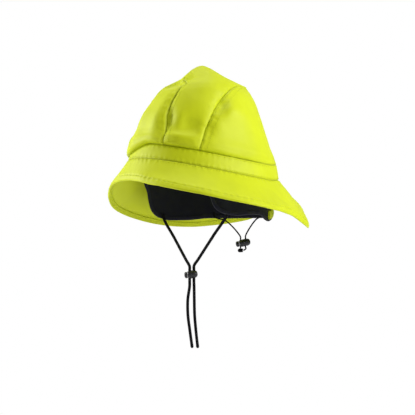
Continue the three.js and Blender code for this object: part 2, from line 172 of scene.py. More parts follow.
@dataclass(frozen=True)
class Pucker:
    """Small pulls of the cloth beside a row of stitches.

    Height and reach are in millimetres, `wave` turns the place along the row
    into radians, and `wander` and `size` say how unevenly the pulls follow on
    each other.
    """

    height: float
    reach: float
    wave: float
    wander: float
    size: float
    seed: float = 0.0

    def at(self, distance: Array, along: Array, points: Array, seed: float = 0.0) -> Array:
        """Height of the pulls.

        Args:
            distance: how far each point lies from the stitches, in millimetres.
            along: place along the row.
            points: the points themselves, in millimetres.
            seed: shifts the pattern further.

        Returns:
            The height, in millimetres.
        """
        wander = self.wander * ripple(points, self.size, self.seed + seed)
        return self.height * bell(distance, self.reach) * np.sin(along * self.wave + wander)


@dataclass(frozen=True)
class Slack:
    """Uneven lie of soft cloth: swells, each given by its height, size and seed."""

    swells: tuple[tuple[float, float, float], ...]

    def at(self, points: Array, seed: float = 0.0) -> Array:
        """Height of all the swells together, in millimetres."""
        return sum(height * ripple(points, size, own + seed) for height, size, own in self.swells)


# ---------------------------------------------------------------------------
# the hat's form
# ---------------------------------------------------------------------------
@dataclass(frozen=True)
class Dent:
    """A soft hollow in the crown; a negative depth makes it a hump.

    `up` and `tall` are shares of the crown's height, `angle` and `wide` are in
    degrees from the front, and `depth` is in millimetres.
    """

    up: float
    angle: float
    tall: float
    wide: float
    depth: float


@dataclass(frozen=True)
class HatForm:
    """Sizes of the hat in millimetres, and the surfaces that follow them.

    The crown's rows give its front, back and half width at each share of its
    height, as shares of the band's half length and half width. The ridge gives
    its height by its place from front to back. The seams give the angle from
    the front at each share of the crown's height. Rise, reach, drop and bow
    give the band's lift and the brim's shape every 30 degrees round the hat.
    """

    band_half_length: float = 101.0
    band_half_width: float = 87.0
    band_height: float = 20.0
    band_flare: float = 5.8
    band_lift: float = 12.0
    band_bow: float = 0.6
    crown_height: float = 123.0
    brim_reach: float = 60.0
    brim_drop: float = 62.0
    hem_turn: float = 11.0
    hem_curl: float = 3.6
    flap_drop: float = 62.0
    flap_half_width: float = 80.0
    flap_half_length: float = 100.0
    flap_seat: float = 0.35
    flap_wave: float = 1.6
    flap_waves: int = 7
    flap_belly: float = 1.8
    cloth: float = 1.8
    seam_gap: float = 0.3
    wear_tilt: float = 10.0
    tunnel_height: float = 12.0
    sag: float = 14.0
    sag_push: float = 5.6
    sag_share: float = 0.20
    foot_push: float = 1.2

    crown_up: tuple[float, ...] = (0.0, 0.035, 0.12, 0.33, 0.55, 0.74, 0.89, 1.0)
    crown_front: tuple[float, ...] = (1.000, 1.036, 1.004, 0.960, 0.876, 0.765, 0.566, 0.530)
    crown_back: tuple[float, ...] = (0.985, 0.948, 0.890, 0.778, 0.668, 0.592, 0.558, 0.498)
    crown_half: tuple[float, ...] = (0.990, 1.000, 0.968, 0.875, 0.740, 0.579, 0.314, 0.0)
    ridge: Profile = Profile(
        (-0.530, -0.42, -0.25, 0.10, 0.498), (0.833, 0.950, 1.027, 0.976, 0.928))
    front_seam: Profile = Profile(
        (0.0, 0.12, 0.26, 0.42, 0.55, 0.65, 0.75, 0.84, 0.92, 0.97, 1.0),
        (25.5, 25, 23.5, 21.8, 22, 23.3, 24, 23, 16, 8, 0))
    back_seam: Profile = Profile(
        (0.0, 0.064, 0.224, 0.337, 0.484, 0.585, 0.702, 0.777, 0.874, 0.94, 1.0),
        (54.8, 55.5, 57.7, 60.7, 65.5, 70.3, 78.2, 85.7, 104, 128, 180))
    dents: tuple[Dent, ...] = (
        Dent(0.50, 71, 0.12, 5, 3.0), Dent(0.62, 62, 0.14, 5, 1.4),
        Dent(0.32, 27.5, 0.13, 4.5, 2.6), Dent(0.25, 46, 0.08, 13, 2.4))
    loose: Profile = Profile((-64, -40, -22, 9), (0.0, 1.0, 1.0, 0.0))
    rise: Around = Around(
        (0.19, 0.01, -0.17, -0.15, 0.15, 0.86, 1.0, 0.74, 0.17, -0.07, -0.04, 0.16))
    reach: Around = Around(
        (0.21, 0.41, 0.66, 0.84, 0.67, 0.88, 0.80, 0.92, 0.76, 0.64, 0.59, 0.37))
    drop: Around = Around(
        (0.479, 0.541, 0.605, 0.644, 0.669, 0.894, 0.241, 0.675, 0.914, 0.963, 0.858, 0.555))
    bow: Around = Around(
        (0.22, 0.22, 0.22, 0.20, 0.06, -0.08, -0.04, 0.12, 0.22, 0.22, 0.22, 0.22))
    flap_front: Profile = Profile(
        (0.0, 0.35, 0.5, 0.7, 0.83, 0.93, 1.0), (58, 61, 64.6, 66.5, 68.5, 72, 78))
    flap_hem: Profile = Profile(
        (78, 90, 100, 110, 116, 122, 130, 140, 152, 180, 215, 235, 255, 270, 282),
        (0.85, 0.885, 0.862, 0.857, 0.89, 0.97, 1.0, 0.985, 0.95, 0.92, 0.92, 0.92, 0.965,
         0.97, 0.91))

    def worn(self, p: Array) -> Array:
        """Tips points up at the front, as the hat is worn.

        Args:
            p: points of the hat's own frame, in millimetres.

        Returns:
            The points in the worn frame.
        """
        tilt = math.radians(self.wear_tilt)
        c, s = math.cos(tilt), math.sin(tilt)
        x, y, z = p[..., 0], p[..., 1], p[..., 2]
        return stack(x, y * c + z * s, -y * s + z * c)

    @staticmethod
    def oval(front: Any, back: Any, half: Any, angle: Any) -> tuple[Array, Array]:
        """Point of an outline whose front and back halves differ.

        Args:
            front: reach to the front, in millimetres.
            back: reach to the back.
            half: half width.
            angle: angle from the front.

        Returns:
            The point's x and y.
        """
        a = np.radians(angle)
        c = np.cos(a)
        return half * np.sin(a), np.where(c > 0, -front * c, -back * c)

    @staticmethod
    def facing(length: float, width: float, angle: Any) -> tuple[Array, Array]:
        """Level direction straight out of an oval.

        Args:
            length: the oval's half length.
            width: its half width.
            angle: angle from the front.

        Returns:
            The direction's x and y.
        """
        nx, ny = np.sin(np.radians(angle)) / width, -np.cos(np.radians(angle)) / length
        m = np.hypot(nx, ny)
        return nx / m, ny / m

    def ridge_height(self, y: Any) -> Array:
        """Height of the ridge above the band's top edge."""
        return self.crown_height * self.ridge.at(np.asarray(y) / self.band_half_length)

    def lifted(self, angle: Any) -> Array:
        """Height by which the band and what is sewn to it ride up at an angle."""
        return self.band_lift * self.rise.at(angle)

    def crown(self, up: Any, angle: Any) -> Array:
        """Plain crown surface.

        Args:
            up: share of the crown's height.
            angle: angle from the front.

        Returns:
            Points in the hat's own frame.
        """
        length, width = self.band_half_length, self.band_half_width
        x, y = self.oval(
            length * Profile(self.crown_up, self.crown_front).at(up),
            length * Profile(self.crown_up, self.crown_back).at(up),
            width * Profile(self.crown_up, self.crown_half).at(up), angle)
        ridge_front, ridge_back = length * self.crown_front[-1], length * self.crown_back[-1]
        _, top_y = self.oval(ridge_front, ridge_back, 0.0, angle)
        z = self.band_height + self.seam_gap + up * (self.ridge_height(top_y) - self.seam_gap)
        z = z + self.lifted(angle) * (1 - up) ** 2
        return stack(x, y, z)

    def crown_normal(self, up: Any, angle: Any) -> Array:
        """Outward direction of the plain crown, upright on the ridge and level at the foot.

        Args:
            up: share of the crown's height.
            angle: angle from the front.

        Returns:
            Directions in the hat's own frame.
        """
        step, near_ridge, near_foot = 0.01, 8.0, 0.05
        up, angle = np.broadcast_arrays(np.asarray(up, float), np.asarray(angle, float))
        above, below = np.minimum(up + step, 1), np.maximum(up - step, 0)
        rise = self.crown(above, angle) - self.crown(below, angle)
        low = np.minimum(up, 1 - step / 2)
        turn = self.crown(low, angle + 1) - self.crown(low, angle - 1)
        n = unit(np.cross(turn, rise))
        n[..., 0] *= ramp(np.abs(self.crown(up, angle)[..., 0]), near_ridge)
        n[..., 2] *= ramp(up, near_foot)
        return unit(n)

    @staticmethod
    def hollow(dents: Sequence[Dent], up: Any, angle: Any) -> Array:
        """Depth of a set of dents, the same on both sides of the hat.

        Args:
            dents: the dents.
            up: share of the crown's height.
            angle: angle from the front.

        Returns:
            The depth, in millimetres.
        """
        side = np.abs(signed(angle))
        none = np.zeros(np.broadcast(up, side).shape)
        return sum((d.depth * bell(up - d.up, d.tall) * bell(side - d.angle, d.wide)
                    for d in dents), none)

    def overhang(self, up: Any, angle: Any) -> tuple[Array, Array]:
        """How far the loose crown hangs down over the band, and how far it stands out there.

        Args:
            up: share of the crown's height.
            angle: angle from the front.

        Returns:
            The drop and the outward push, in millimetres.
        """
        loose = self.loose.at(signed(angle))
        foot = np.clip(1 - np.asarray(up) / self.sag_share, 0, 1)
        return self.sag * loose * foot**1.6, (self.sag_push * loose + self.foot_push) * foot**1.2

    def band(self, share: Any, angle: Any, inward: Any = 0.0) -> Array:
        """Band surface.

        Args:
            share: share of the band's height.
            angle: angle from the front.
            inward: depth below the outer face, in millimetres.

        Returns:
            Points in the hat's own frame.
        """
        grow = self.band_flare * (1 - share) - inward + self.band_bow * np.sin(np.pi * share)
        length = self.band_half_length + grow
        x, y = self.oval(length, length, self.band_half_width + grow, angle)
        return stack(x, y, self.band_height * share + self.lifted(angle))

    def brim_slope(self, angle: Any) -> tuple[Array, Array, Array]:
        """The brim's reach, drop and length of slope at an angle, in millimetres."""
        reach, drop = self.brim_reach * self.reach.at(angle), self.brim_drop * self.drop.at(angle)
        return reach, drop, np.hypot(reach, drop)

    def brim(self, out: Any, angle: Any, inward: Any = 0.0) -> Array:
        """Brim surface, curled down in the hem.

        Args:
            out: share of the way out.
            angle: angle from the front.
            inward: depth below the upper face, in millimetres.

        Returns:
            Points in the hat's own frame.
        """
        length = self.band_half_length + self.band_flare
        width = self.band_half_width + self.band_flare
        x, y = self.oval(length, length, width, angle)
        nx, ny = self.facing(length, width, angle)
        reach, drop, slant = self.brim_slope(angle)
        bow = self.bow.at(angle) * out * (1 - out)
        curl = np.clip(1 - (1 - out) * slant / self.hem_turn, 0, 1) ** 1.5
        under = inward + self.hem_curl * curl
        r = reach * (out - bow) - under * drop / slant
        d = drop * (out + bow) + under * reach / slant
        return stack(x + nx * r, y + ny * r, self.lifted(angle) - self.seam_gap - d)

    def flap(self, down: Any, angle: Any, outward: Any = 0.0) -> Array:
        """Middle surface of the flap.

        Args:
            down: share of the way down from its sewn edge.
            angle: angle from the front.
            outward: distance outside the middle surface, in millimetres.

        Returns:
            Points in the worn frame.
        """
        down = np.asarray(down, float)
        top = self.worn(self.band(self.flap_seat, angle, self.cloth * 1.5 + self.seam_gap))
        length, width = self.flap_half_length, self.flap_half_width
        hx, hy = self.oval(length, length, width, angle)
        hem = stack(hx, hy, -self.flap_drop * self.flap_hem.at(angle))
        p = top + (hem - top) * down[..., None]
        wave = self.flap_wave * np.sin(np.radians(np.asarray(angle) * self.flap_waves)) * down**2
        nx, ny = self.facing(length, width, angle)
        r = outward + wave - self.flap_belly * np.sin(np.pi * down)
        return stack(p[..., 0] + nx * r, p[..., 1] + ny * r, p[..., 2])


# ---------------------------------------------------------------------------
# shader expressions
# ---------------------------------------------------------------------------
class Value:
    """A shader socket that arithmetic can be written with."""

    def __init__(self, graph: "Graph", socket: bpy.types.NodeSocket) -> None:
        """Wraps one output socket of a graph."""
        self.graph, self.socket = graph, socket

    def _math(self, operation: str, *terms: Any) -> "Value":
        """Adds one Math node and returns its result."""
        return self.graph.node("ShaderNodeMath", {"operation": operation}, dict(enumerate(terms)))

    def __add__(self, other: Any) -> "Value":
        """self + other"""
        return self._math("ADD", self, other)

    __radd__ = __add__

    def __mul__(self, other: Any) -> "Value":
        """self * other"""
        return self._math("MULTIPLY", self, other)

    __rmul__ = __mul__

    def __sub__(self, other: Any) -> "Value":
        """self - other"""
        return self._math("SUBTRACT", self, other)

    def __rsub__(self, other: Any) -> "Value":
        """other - self"""
        return self._math("SUBTRACT", other, self)

    def sine(self) -> "Value":
        """Sine of an angle in radians."""
        return self._math("SINE", self)

    def clamped(self) -> "Value":
        """The value kept between 0 and 1."""
        return self.graph.node("ShaderNodeClamp", {}, {"Value": self})

    def output(self, name: Any) -> "Value":
        """Another output of the same node, by name or number."""
        return Value(self.graph, self.socket.node.outputs[name])


class Graph:
    """Fills one node tree."""

    def __init__(self, tree: bpy.types.NodeTree) -> None:
        """Starts with an empty tree."""
        self.tree = tree
        tree.nodes.clear()

    def node(self, kind: str, settings: dict[str, Any], inputs: dict[Any, Any],
             output: Any = 0) -> Value:
        """Adds a node.

        Args:
            kind: Blender's node type.
            settings: attributes, set before the sockets.
            inputs: values or links by socket name or number.
            output: name or number of the socket that is wanted.

        Returns:
            The wanted output; the node that ends a tree has none.
        """
        n = self.tree.nodes.new(kind)
        for key, value in settings.items():
            setattr(n, key, value)
        for key, value in inputs.items():
            if isinstance(value, Value):
                self.tree.links.new(value.socket, n.inputs[key])
            else:
                n.inputs[key].default_value = value
        return Value(self, n.outputs[output] if len(n.outputs) else None)

    def mix(self, factor: Any, a: Any, b: Any) -> Value:
        """Colour a turning into colour b."""
        settings = {"data_type": "RGBA", "clamp_factor": True}
        return self.node("ShaderNodeMix", settings, {0: factor, 6: a, 7: b}, 2)


class Surface(Graph):
    """The nodes of one material."""

    def __init__(self, name: str) -> None:
        """Starts an empty material.

        Args:
            name: the material's name.
        """
        self.material = bpy.data.materials.new(name)
        self.material.use_nodes = True
        super().__init__(self.material.node_tree)

    def place(self) -> Value:
        """Object coordinates of the piece."""
        return self.node("ShaderNodeTexCoord", {}, {}, "Object")

    def cut(self) -> Value:
        """The piece's own flat coordinates, in metres."""
        return self.node("ShaderNodeUVMap", {"uv_map": "cloth"}, {})

    def seam(self) -> Value:
        """Closeness to a seam, from 0 to 1, as stored on the piece's points; it weights the painted
        seam shade.
        """
        return self.node("ShaderNodeAttribute", {"attribute_name": "seam"}, {}, "Fac").clamped()

    def noise(self, where: Value, scale: float, detail: float = 2.0, rough: float = 0.5) -> Value:
        """Smooth noise from 0 to 1.

        Args:
            where: coordinates in metres.
            scale: swells to the metre.
            detail: octaves.
            rough: how much each octave keeps of the last one's height.

        Returns:
            The noise.
        """
        inputs = {"Vector": where, "Scale": scale, "Detail": detail, "Roughness": rough}
        return self.node("ShaderNodeTexNoise", {}, inputs)

    def bump(self, height: Value, strength: float, distance: float,
             under: Value | None = None) -> Value:
        """A bump from a height.

        Args:
            height: the height, from 0 to 1.
            strength: how much of the bump shows.
            distance: depth in metres.
            under: another bump that this one lies over.

        Returns:
            The normal.
        """
        inputs: dict[Any, Any] = {"Height": height, "Strength": strength, "Distance": distance}
        if under is not None:
            inputs["Normal"] = under
        return self.node("ShaderNodeBump", {}, inputs)

    def split(self, vector: Value) -> tuple[Value, Value, Value]:
        """The three parts of a vector."""
        x = self.node("ShaderNodeSeparateXYZ", {}, {0: vector})
        return x, x.output(1), x.output(2)

    def finish(self, inputs: dict[str, Any]) -> bpy.types.Material:
        """Adds the Principled shader and the output.

        Args:
            inputs: the shader's values or links by socket name.

        Returns:
            The material.
        """
        return self.close(self.node("ShaderNodeBsdfPrincipled", {}, inputs))

    def close(self, shader: Value) -> bpy.types.Material:
        """Links a shader to the material's output, and returns the material."""
        self.node("ShaderNodeOutputMaterial", {}, {"Surface": shader})
        return self.material


Colour = tuple[float, float, float, float]


def rgb(r: float, g: float, b: float) -> Colour:
    """A linear colour with full alpha."""
    return (r, g, b, 1.0)


WHITE = rgb(1.0, 1.0, 1.0)


# ---------------------------------------------------------------------------
# finishes
# ---------------------------------------------------------------------------
@dataclass(frozen=True)
class ShellCloth:
    """Hi-vis softshell: smooth tight weave, bright yellow, a soft sheen, with painted shade in its
    seams and a faint painted glow.
    """

    name: str = "hi_vis_softshell"
    bright: Colour = rgb(0.66, 0.745, 0.0045)
    deep: Colour = rgb(0.58, 0.655, 0.0025)
    seam_shade: Colour = rgb(0.24, 0.27, 0.001)
    roughness: float = 0.56
    # Strength of a painted glow: the cloth gives off a little light of its own.
    glow: float = 0.03
    rib_pitch: float = 0.0011
    pile_scale: float = 1500.0
    cloud_scale: float = 22.0
    mottle_scale: float = 160.0
    unevenness_scale: float = 90.0

    def material(self) -> bpy.types.Material:
        """Builds the cloth.

        Returns:
            The material.
        """
        g = Surface(self.name)
        where, flat = g.place(), g.cut()
        cloud = g.noise(where, self.cloud_scale, 3.0)
        mottle = g.noise(where, self.mottle_scale)
        x, y, _ = g.split(flat)
        turns = 2 * math.pi / self.rib_pitch
        rib = ((x + y) * turns).sine() * 0.5 + ((x - y) * turns).sine() * 0.5
        pile = g.noise(flat, self.pile_scale, 2.0, 0.6)
        tone = g.mix((cloud - 0.38) * 2.0, self.bright, self.deep)
        tone = g.mix((mottle - 0.45) * 0.3, tone, self.deep)
        tone = g.mix((rib + 1.0) * 0.03, tone, self.deep)
        # Painted shade: darker towards a dark olive along the seams, where the crown meets the
        # band, at the band's edges, along the brim's hem line and over the drawcord tunnel, as much
        # as the stored seam closeness says.
        tone = g.mix(g.seam() * 0.8, tone, self.seam_shade)
        soft = g.bump(g.noise(where, self.unevenness_scale, 3.0), 0.2, 0.001)
        weave = g.bump(rib * 0.6 + pile, 0.18, 0.0002, soft)
        return g.finish({
            "Base Color": tone,
            "Roughness": (cloud - 0.5) * 0.12 + self.roughness,
            "Normal": weave,
            "Specular IOR Level": 0.32,
            "Sheen Weight": 0.06,
            "Sheen Roughness": 0.3,
            # Painted light: a faint glow in the cloth's own colour that lifts its shaded parts.
            "Emission Color": tone,
            "Emission Strength": self.glow,
        })


@dataclass(frozen=True)
class FlapCloth:
    """Dark navy brushed fleece."""

    name: str = "navy_fleece"
    dark: Colour = rgb(0.0075, 0.0080, 0.0130)
    worn: Colour = rgb(0.0210, 0.0225, 0.0380)
    roughness: float = 0.95
    fibre_scale: float = 900.0
    patch_scale: float = 60.0

    def material(self) -> bpy.types.Material:
        """Builds the fleece.

        Returns:
            The material.
        """
        g = Surface(self.name)
        where = g.place()
        fibre = g.noise(where, self.fibre_scale, 4.0, 0.7)
        patch = g.noise(where, self.patch_scale, 3.0)
        tone = g.mix((fibre - 0.35) * 1.3, self.dark, self.worn)
        tone = g.mix((patch - 0.4) * 0.5, tone, self.worn)
        # Painted shade: darker towards the dark tone where the stored seam closeness is high.
        tone = g.mix(g.seam() * 0.5, tone, self.dark)
        nap = g.bump(fibre, 0.6, 0.0006, g.bump(patch, 0.3, 0.0015))
        return g.finish({
            "Base Color": tone,
            "Roughness": self.roughness,
            "Normal": nap,
            "Sheen Weight": 0.06,
            "Sheen Roughness": 0.5,
            "Specular IOR Level": 0.15,
        })


@dataclass(frozen=True)
class BraidedCord:
    """Black braid: strands that cross around the cord."""

    name: str = "black_braid"
    dark: Colour = rgb(0.0020, 0.0020, 0.0030)
    light: Colour = rgb(0.0090, 0.0090, 0.0110)
    strands: float = 8.0
    pitch: float = 0.0042
    roughness: float = 0.85
    fuzz_scale: float = 2500.0

    def material(self) -> bpy.types.Material:
        """Builds the braid; the flat coordinates run round and along the cord.

        Returns:
            The material.
        """
        g = Surface(self.name)
        x, y, _ = g.split(g.cut())
        turn = x * (2 * math.pi * self.strands)
        run = y * (2 * math.pi * 2.0 / self.pitch)
        braid = (turn + run).sine() * (turn - run).sine()
        fuzz = g.noise(g.place(), self.fuzz_scale)
        mask = (braid * 0.5 + 0.5).clamped()
        return g.finish({
            "Base Color": g.mix(mask * (fuzz * 0.6 + 0.5), self.dark, self.light),
            "Roughness": self.roughness,
            "Normal": g.bump(mask + fuzz * 0.3, 0.2, 0.0002),
            "Specular IOR Level": 0.12,
        })


@dataclass(frozen=True)
class LockPlastic:
    """Dark moulded plastic with a fine spark-eroded grain."""

    name: str = "lock_plastic"
    base: Colour = rgb(0.008, 0.0085, 0.011)
    rubbed: Colour = rgb(0.022, 0.023, 0.028)
    roughness: float = 0.42
    grain_scale: float = 3000.0
    patch_scale: float = 320.0

    def material(self) -> bpy.types.Material:
        """Builds the plastic.

        Returns:
            The material.
        """
        g = Surface(self.name)
        where = g.place()
        grain = g.noise(where, self.grain_scale)
        patch = g.noise(where, self.patch_scale, 3.0)
        return g.finish({
            "Base Color": g.mix((patch - 0.42) * 1.4, self.base, self.rubbed),
            "Roughness": patch * 0.2 + (self.roughness - 0.1),
            "Normal": g.bump(grain, 0.25, 0.0001),
        })


@dataclass(frozen=True)
class Thread:
    """Sewing thread with its twist."""

    name: str
    base: Colour
    shade: Colour
    roughness: float = 0.75
    twist_scale: float = 2600.0

    def material(self) -> bpy.types.Material:
        """Builds the thread.

        Returns:
            The material.
        """
        g = Surface(self.name)
        twist = g.noise(g.place(), self.twist_scale, 1.0)
        return g.finish({
            "Base Color": g.mix(twist, self.shade, self.base),
            "Roughness": self.roughness,
            "Normal": g.bump(twist, 0.3, 0.0002),
            "Specular IOR Level": 0.15,
        })


@dataclass(frozen=True)
class StudioPaper:
    """White paper sweep under and behind the hat."""

    name: str = "white_sweep"
    tone: Colour = rgb(0.80, 0.80, 0.80)
    tooth: Colour = rgb(0.74, 0.74, 0.74)
    glow: float = 0.07

    def material(self) -> bpy.types.Material:
        """Builds the paper; the lens sees it burnt out to white.

        Returns:
            The material.
        """
        g = Surface(self.name)
        grain = g.noise(g.place(), 60.0)
        tone = g.mix(grain * 0.05, self.tone, self.tooth)
        paper = g.node("ShaderNodeBsdfDiffuse", {}, {"Color": tone})
        light = g.node("ShaderNodeEmission", {}, {"Color": WHITE, "Strength": self.glow})
        lit = g.node("ShaderNodeAddShader", {}, {0: paper, 1: light})
        white = g.node("ShaderNodeEmission", {}, {"Color": WHITE, "Strength": 1.0})
        seen = g.node("ShaderNodeLightPath", {}, {}, "Is Camera Ray")
        return g.close(g.node("ShaderNodeMixShader", {}, {0: seen, 1: lit, 2: white}))


# ---------------------------------------------------------------------------
# meshes
# ---------------------------------------------------------------------------
def object_of(name: str, verts: Array, faces: Sequence[Sequence[int]],
              material: bpy.types.Material, uv: Array | None = None, seam: Array | None = None,
              sharp: float = 55.0) -> bpy.types.Object:
    """Makes a mesh object at the origin.

    Args:
        name: the object's name.
        verts: points in millimetres.
        faces: corner numbers of each face.
        material: its material.
        uv: flat coordinates of each point in metres.
        seam: how close each point is to a seam, from 0 to 1; it weights the painted seam shade.
        sharp: edges that turn by more than this many degrees stay sharp.

    Returns:
        The object, linked into the scene.
    """
    mesh = bpy.data.meshes.new(name)
    mesh.from_pydata((verts * MM).tolist(), [], [list(f) for f in faces])
    corner = np.empty(len(mesh.loops), dtype=np.int32)
    mesh.loops.foreach_get("vertex_index", corner)
    if uv is not None:
        layer = mesh.uv_layers.new(name="cloth")
        layer.data.foreach_set("uv", uv[corner].astype(np.float32).ravel())
    if seam is not None:
        data = mesh.attributes.new("seam", "FLOAT", "POINT")
        data.data.foreach_set("value", seam.astype(np.float32).ravel())
    mesh.materials.append(material)
    mesh.shade_smooth()
    mesh.set_sharp_from_angle(angle=math.radians(sharp))
    mesh.update()
    obj = bpy.data.objects.new(name, mesh)
    bpy.context.scene.collection.objects.link(obj)
    return outward(obj)


def outward(obj: bpy.types.Object) -> bpy.types.Object:
    """Turns a closed mesh's faces outwards when its volume comes out negative.

    Args:
        obj: the object.

    Returns:
        The same object.
    """
    bm = bmesh.new()
    bm.from_mesh(obj.data)
    if bm.calc_volume(signed=True) < 0:
        bmesh.ops.reverse_faces(bm, faces=bm.faces[:])
        bm.to_mesh(obj.data)
        obj.data.update()
    bm.free()
    return obj


def evaluated_mesh(obj: bpy.types.Object) -> bpy.types.Mesh:
    """The object's mesh with its modifiers made real."""
    shaped = obj.evaluated_get(bpy.context.evaluated_depsgraph_get())
    return bpy.data.meshes.new_from_object(shaped)


def grid_faces(rows: int, cols: int, wrap_rows: bool, wrap_cols: bool,
               first: int = 0) -> list[tuple[int, ...]]:
    """Faces of a grid of points.

    Args:
        rows: rows of points.
        cols: points in a row.
        wrap_rows: True where the last row joins the first.
        wrap_cols: True where the last point of a row joins the first.
        first: number of the grid's first point.

    Returns:
        The corner numbers of each face.
    """
    faces = []
    for r in range(rows if wrap_rows else rows - 1):
        for c in range(cols if wrap_cols else cols - 1):
            a, b = first + r * cols, first + (r + 1) % rows * cols
            c2 = (c + 1) % cols
            faces.append((a + c, a + c2, b + c2, b + c))
    return faces


def end_caps(rings: int, sides: int) -> list[tuple[int, ...]]:
    """The two faces that close a row of rings."""
    last = (rings - 1) * sides
    return [tuple(range(sides)), tuple(last + k for k in reversed(range(sides)))]


def length_along(path: Array) -> Array:
    """Distance of each point of a path from its start."""
    return np.concatenate([[0.0], np.cumsum(np.linalg.norm(np.diff(path, axis=0), axis=1))])


def wrapped_shell(name: str, outer: Array, inner: Array, ring: bool, material: bpy.types.Material,
                  uv: Array, seam: Array) -> bpy.types.Object:
    """Cloth between an outer and an inner grid of points.

    Args:
        name: the object's name.
        outer: grid of points, rows by columns.
        inner: matching grid of the lining side.
        ring: True where the last column joins the first.
        material: its material.
        uv: flat coordinates of each outer point, metres.
        seam: seam closeness of each outer point, which weights the painted seam shade.

    Returns:
        The object.
    """
    rows, cols = outer.shape[:2]
    sheet = np.concatenate([outer, inner[::-1]], 0)
    verts = sheet.reshape(-1, 3)
    faces = grid_faces(2 * rows, cols, True, ring)
    if not ring:
        for c in (0, cols - 1):
            for r in range(rows - 1):
                a, b = r * cols + c, (r + 1) * cols + c
                d, e = (2 * rows - 1 - r) * cols + c, (2 * rows - 2 - r) * cols + c
                faces.append((a, b, e, d) if c == 0 else (a, d, e, b))
    both = np.concatenate([uv, uv[::-1]], 0).reshape(-1, 2)
    # Weights of the painted seam shade: the outer side in full, the lining side at six tenths.
    shade_weights = np.concatenate([seam, seam[::-1] * 0.6], 0).reshape(-1)
    return object_of(name, verts, faces, material, both, shade_weights)


def lathe(name: str, profile: Sequence[tuple[float, float]], segments: int,
          material: bpy.types.Material) -> bpy.types.Object:
    """Turned solid about the Z axis, closed on the axis at both ends.

    Args:
        name: the object's name.
        profile: radius and height pairs, in millimetres.
        segments: sides.
        material: its material.

    Returns:
        The object.
    """
    verts, faces = [(0.0, 0.0, profile[0][1])], []
    for r, z in profile[1:-1]:
        verts += [(r * math.cos(a), r * math.sin(a), z)
                  for a in np.linspace(0, 2 * math.pi, segments, endpoint=False)]
    verts.append((0.0, 0.0, profile[-1][1]))
    rings = len(profile) - 2
    for k in range(segments):
        n = (k + 1) % segments
        faces.append((0, 1 + n, 1 + k))
        for r in range(rings - 1):
            a, b = 1 + r * segments, 1 + (r + 1) * segments
            faces.append((a + k, a + n, b + n, b + k))
        last = 1 + (rings - 1) * segments
        faces.append((last + k, last + n, len(verts) - 1))
    return object_of(name, np.array(verts), faces, material)


def between(t: Array, i: int, j: int, u: float, a: Array, b: Array) -> Array:
    """Point on the way from a, at knot i, to b, at knot j."""
    return (t[j] - u) / (t[j] - t[i]) * a + (u - t[i]) / (t[j] - t[i]) * b


def smooth_path(points: Sequence[Sequence[float]], step: float) -> Array:
    """Centripetal curve through points.

    Args:
        points: the points, in millimetres.
        step: about how far apart the curve's own points are.

    Returns:
        The curve's points.
    """
    p = np.array(points, float)
    ends = np.vstack([2 * p[0] - p[1], p, 2 * p[-1] - p[-2]])
    out = []
    for i in range(1, len(ends) - 2):
        p0, p1, p2, p3 = ends[i - 1:i + 3]
        t = np.cumsum([0.0] + [max(np.linalg.norm(b - a), 1e-6) ** 0.5
                               for a, b in ((p0, p1), (p1, p2), (p2, p3))])
        n = max(1, round(float(np.linalg.norm(p2 - p1)) / step))
        for k in range(n):
            u = t[1] + (t[2] - t[1]) * k / n
            a1, a2 = between(t, 0, 1, u, p0, p1), between(t, 1, 2, u, p1, p2)
            a3 = between(t, 2, 3, u, p2, p3)
            b1, b2 = between(t, 0, 2, u, a1, a2), between(t, 1, 3, u, a2, a3)
            out.append(between(t, 1, 2, u, b1, b2))
    out.append(p[-1])
    return np.array(out)


def tube(name: str, path: Array, radius: Array, sides: int, material: bpy.types.Material,
         closed: bool = False) -> bpy.types.Object:
    """Round tube along a path, with flat coordinates round and along it.

    Args:
        name: the object's name.
        path: centreline points in millimetres.
        radius: radius at each point.
        sides: sides of the section.
        material: its material.
        closed: True for an endless loop; the ends are capped otherwise.

    Returns:
        The object.
    """
    n = len(path)
    if closed:
        tangent = unit(np.roll(path, -1, 0) - np.roll(path, 1, 0))
    else:
        tangent = unit(np.gradient(path, axis=0))
    side = np.array([0.31, -0.87, 0.12])
    run = length_along(path)
    verts, uv = [], []
    for i in range(n):
        side = side - tangent[i] * side.dot(tangent[i])
        side /= np.linalg.norm(side)
        other = np.cross(tangent[i], side)
        for k in range(sides):
            a = 2 * math.pi * k / sides
            verts.append(path[i] + (side * math.cos(a) + other * math.sin(a)) * radius[i])
            uv.append((k / sides, run[i] * MM))
    faces = grid_faces(n, sides, closed, True) + ([] if closed else end_caps(n, sides))
    return object_of(name, np.array(verts), faces, material, np.array(uv), None, 60.0)


def place(obj: bpy.types.Object, rides: str = ROOT, slot: str | None = None,
          replaces: Sequence[str] = ()) -> bpy.types.Object:
    """Ties a finished piece to the frame and reports it.

    Args:
        obj: the piece.
        rides: the body that it moves with.
        slot: a recolouring slot; not used.
        replaces: the CAD nodes that it stands for.

    Returns:
        The same piece.
    """
    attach(obj, rides)
    if replaces:
        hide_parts(*replaces)
    LOG.info("%s: %d faces", obj.name, len(obj.data.polygons))
    return obj


# ---------------------------------------------------------------------------
# stitching
# ---------------------------------------------------------------------------
class StitchKind(Enum):
    """Length, spacing and half thickness of a stitch, in millimetres."""

    TOPSTITCH = (2.5, 3.4, 0.24)
    HEM = (3.0, 4.0, 0.26)


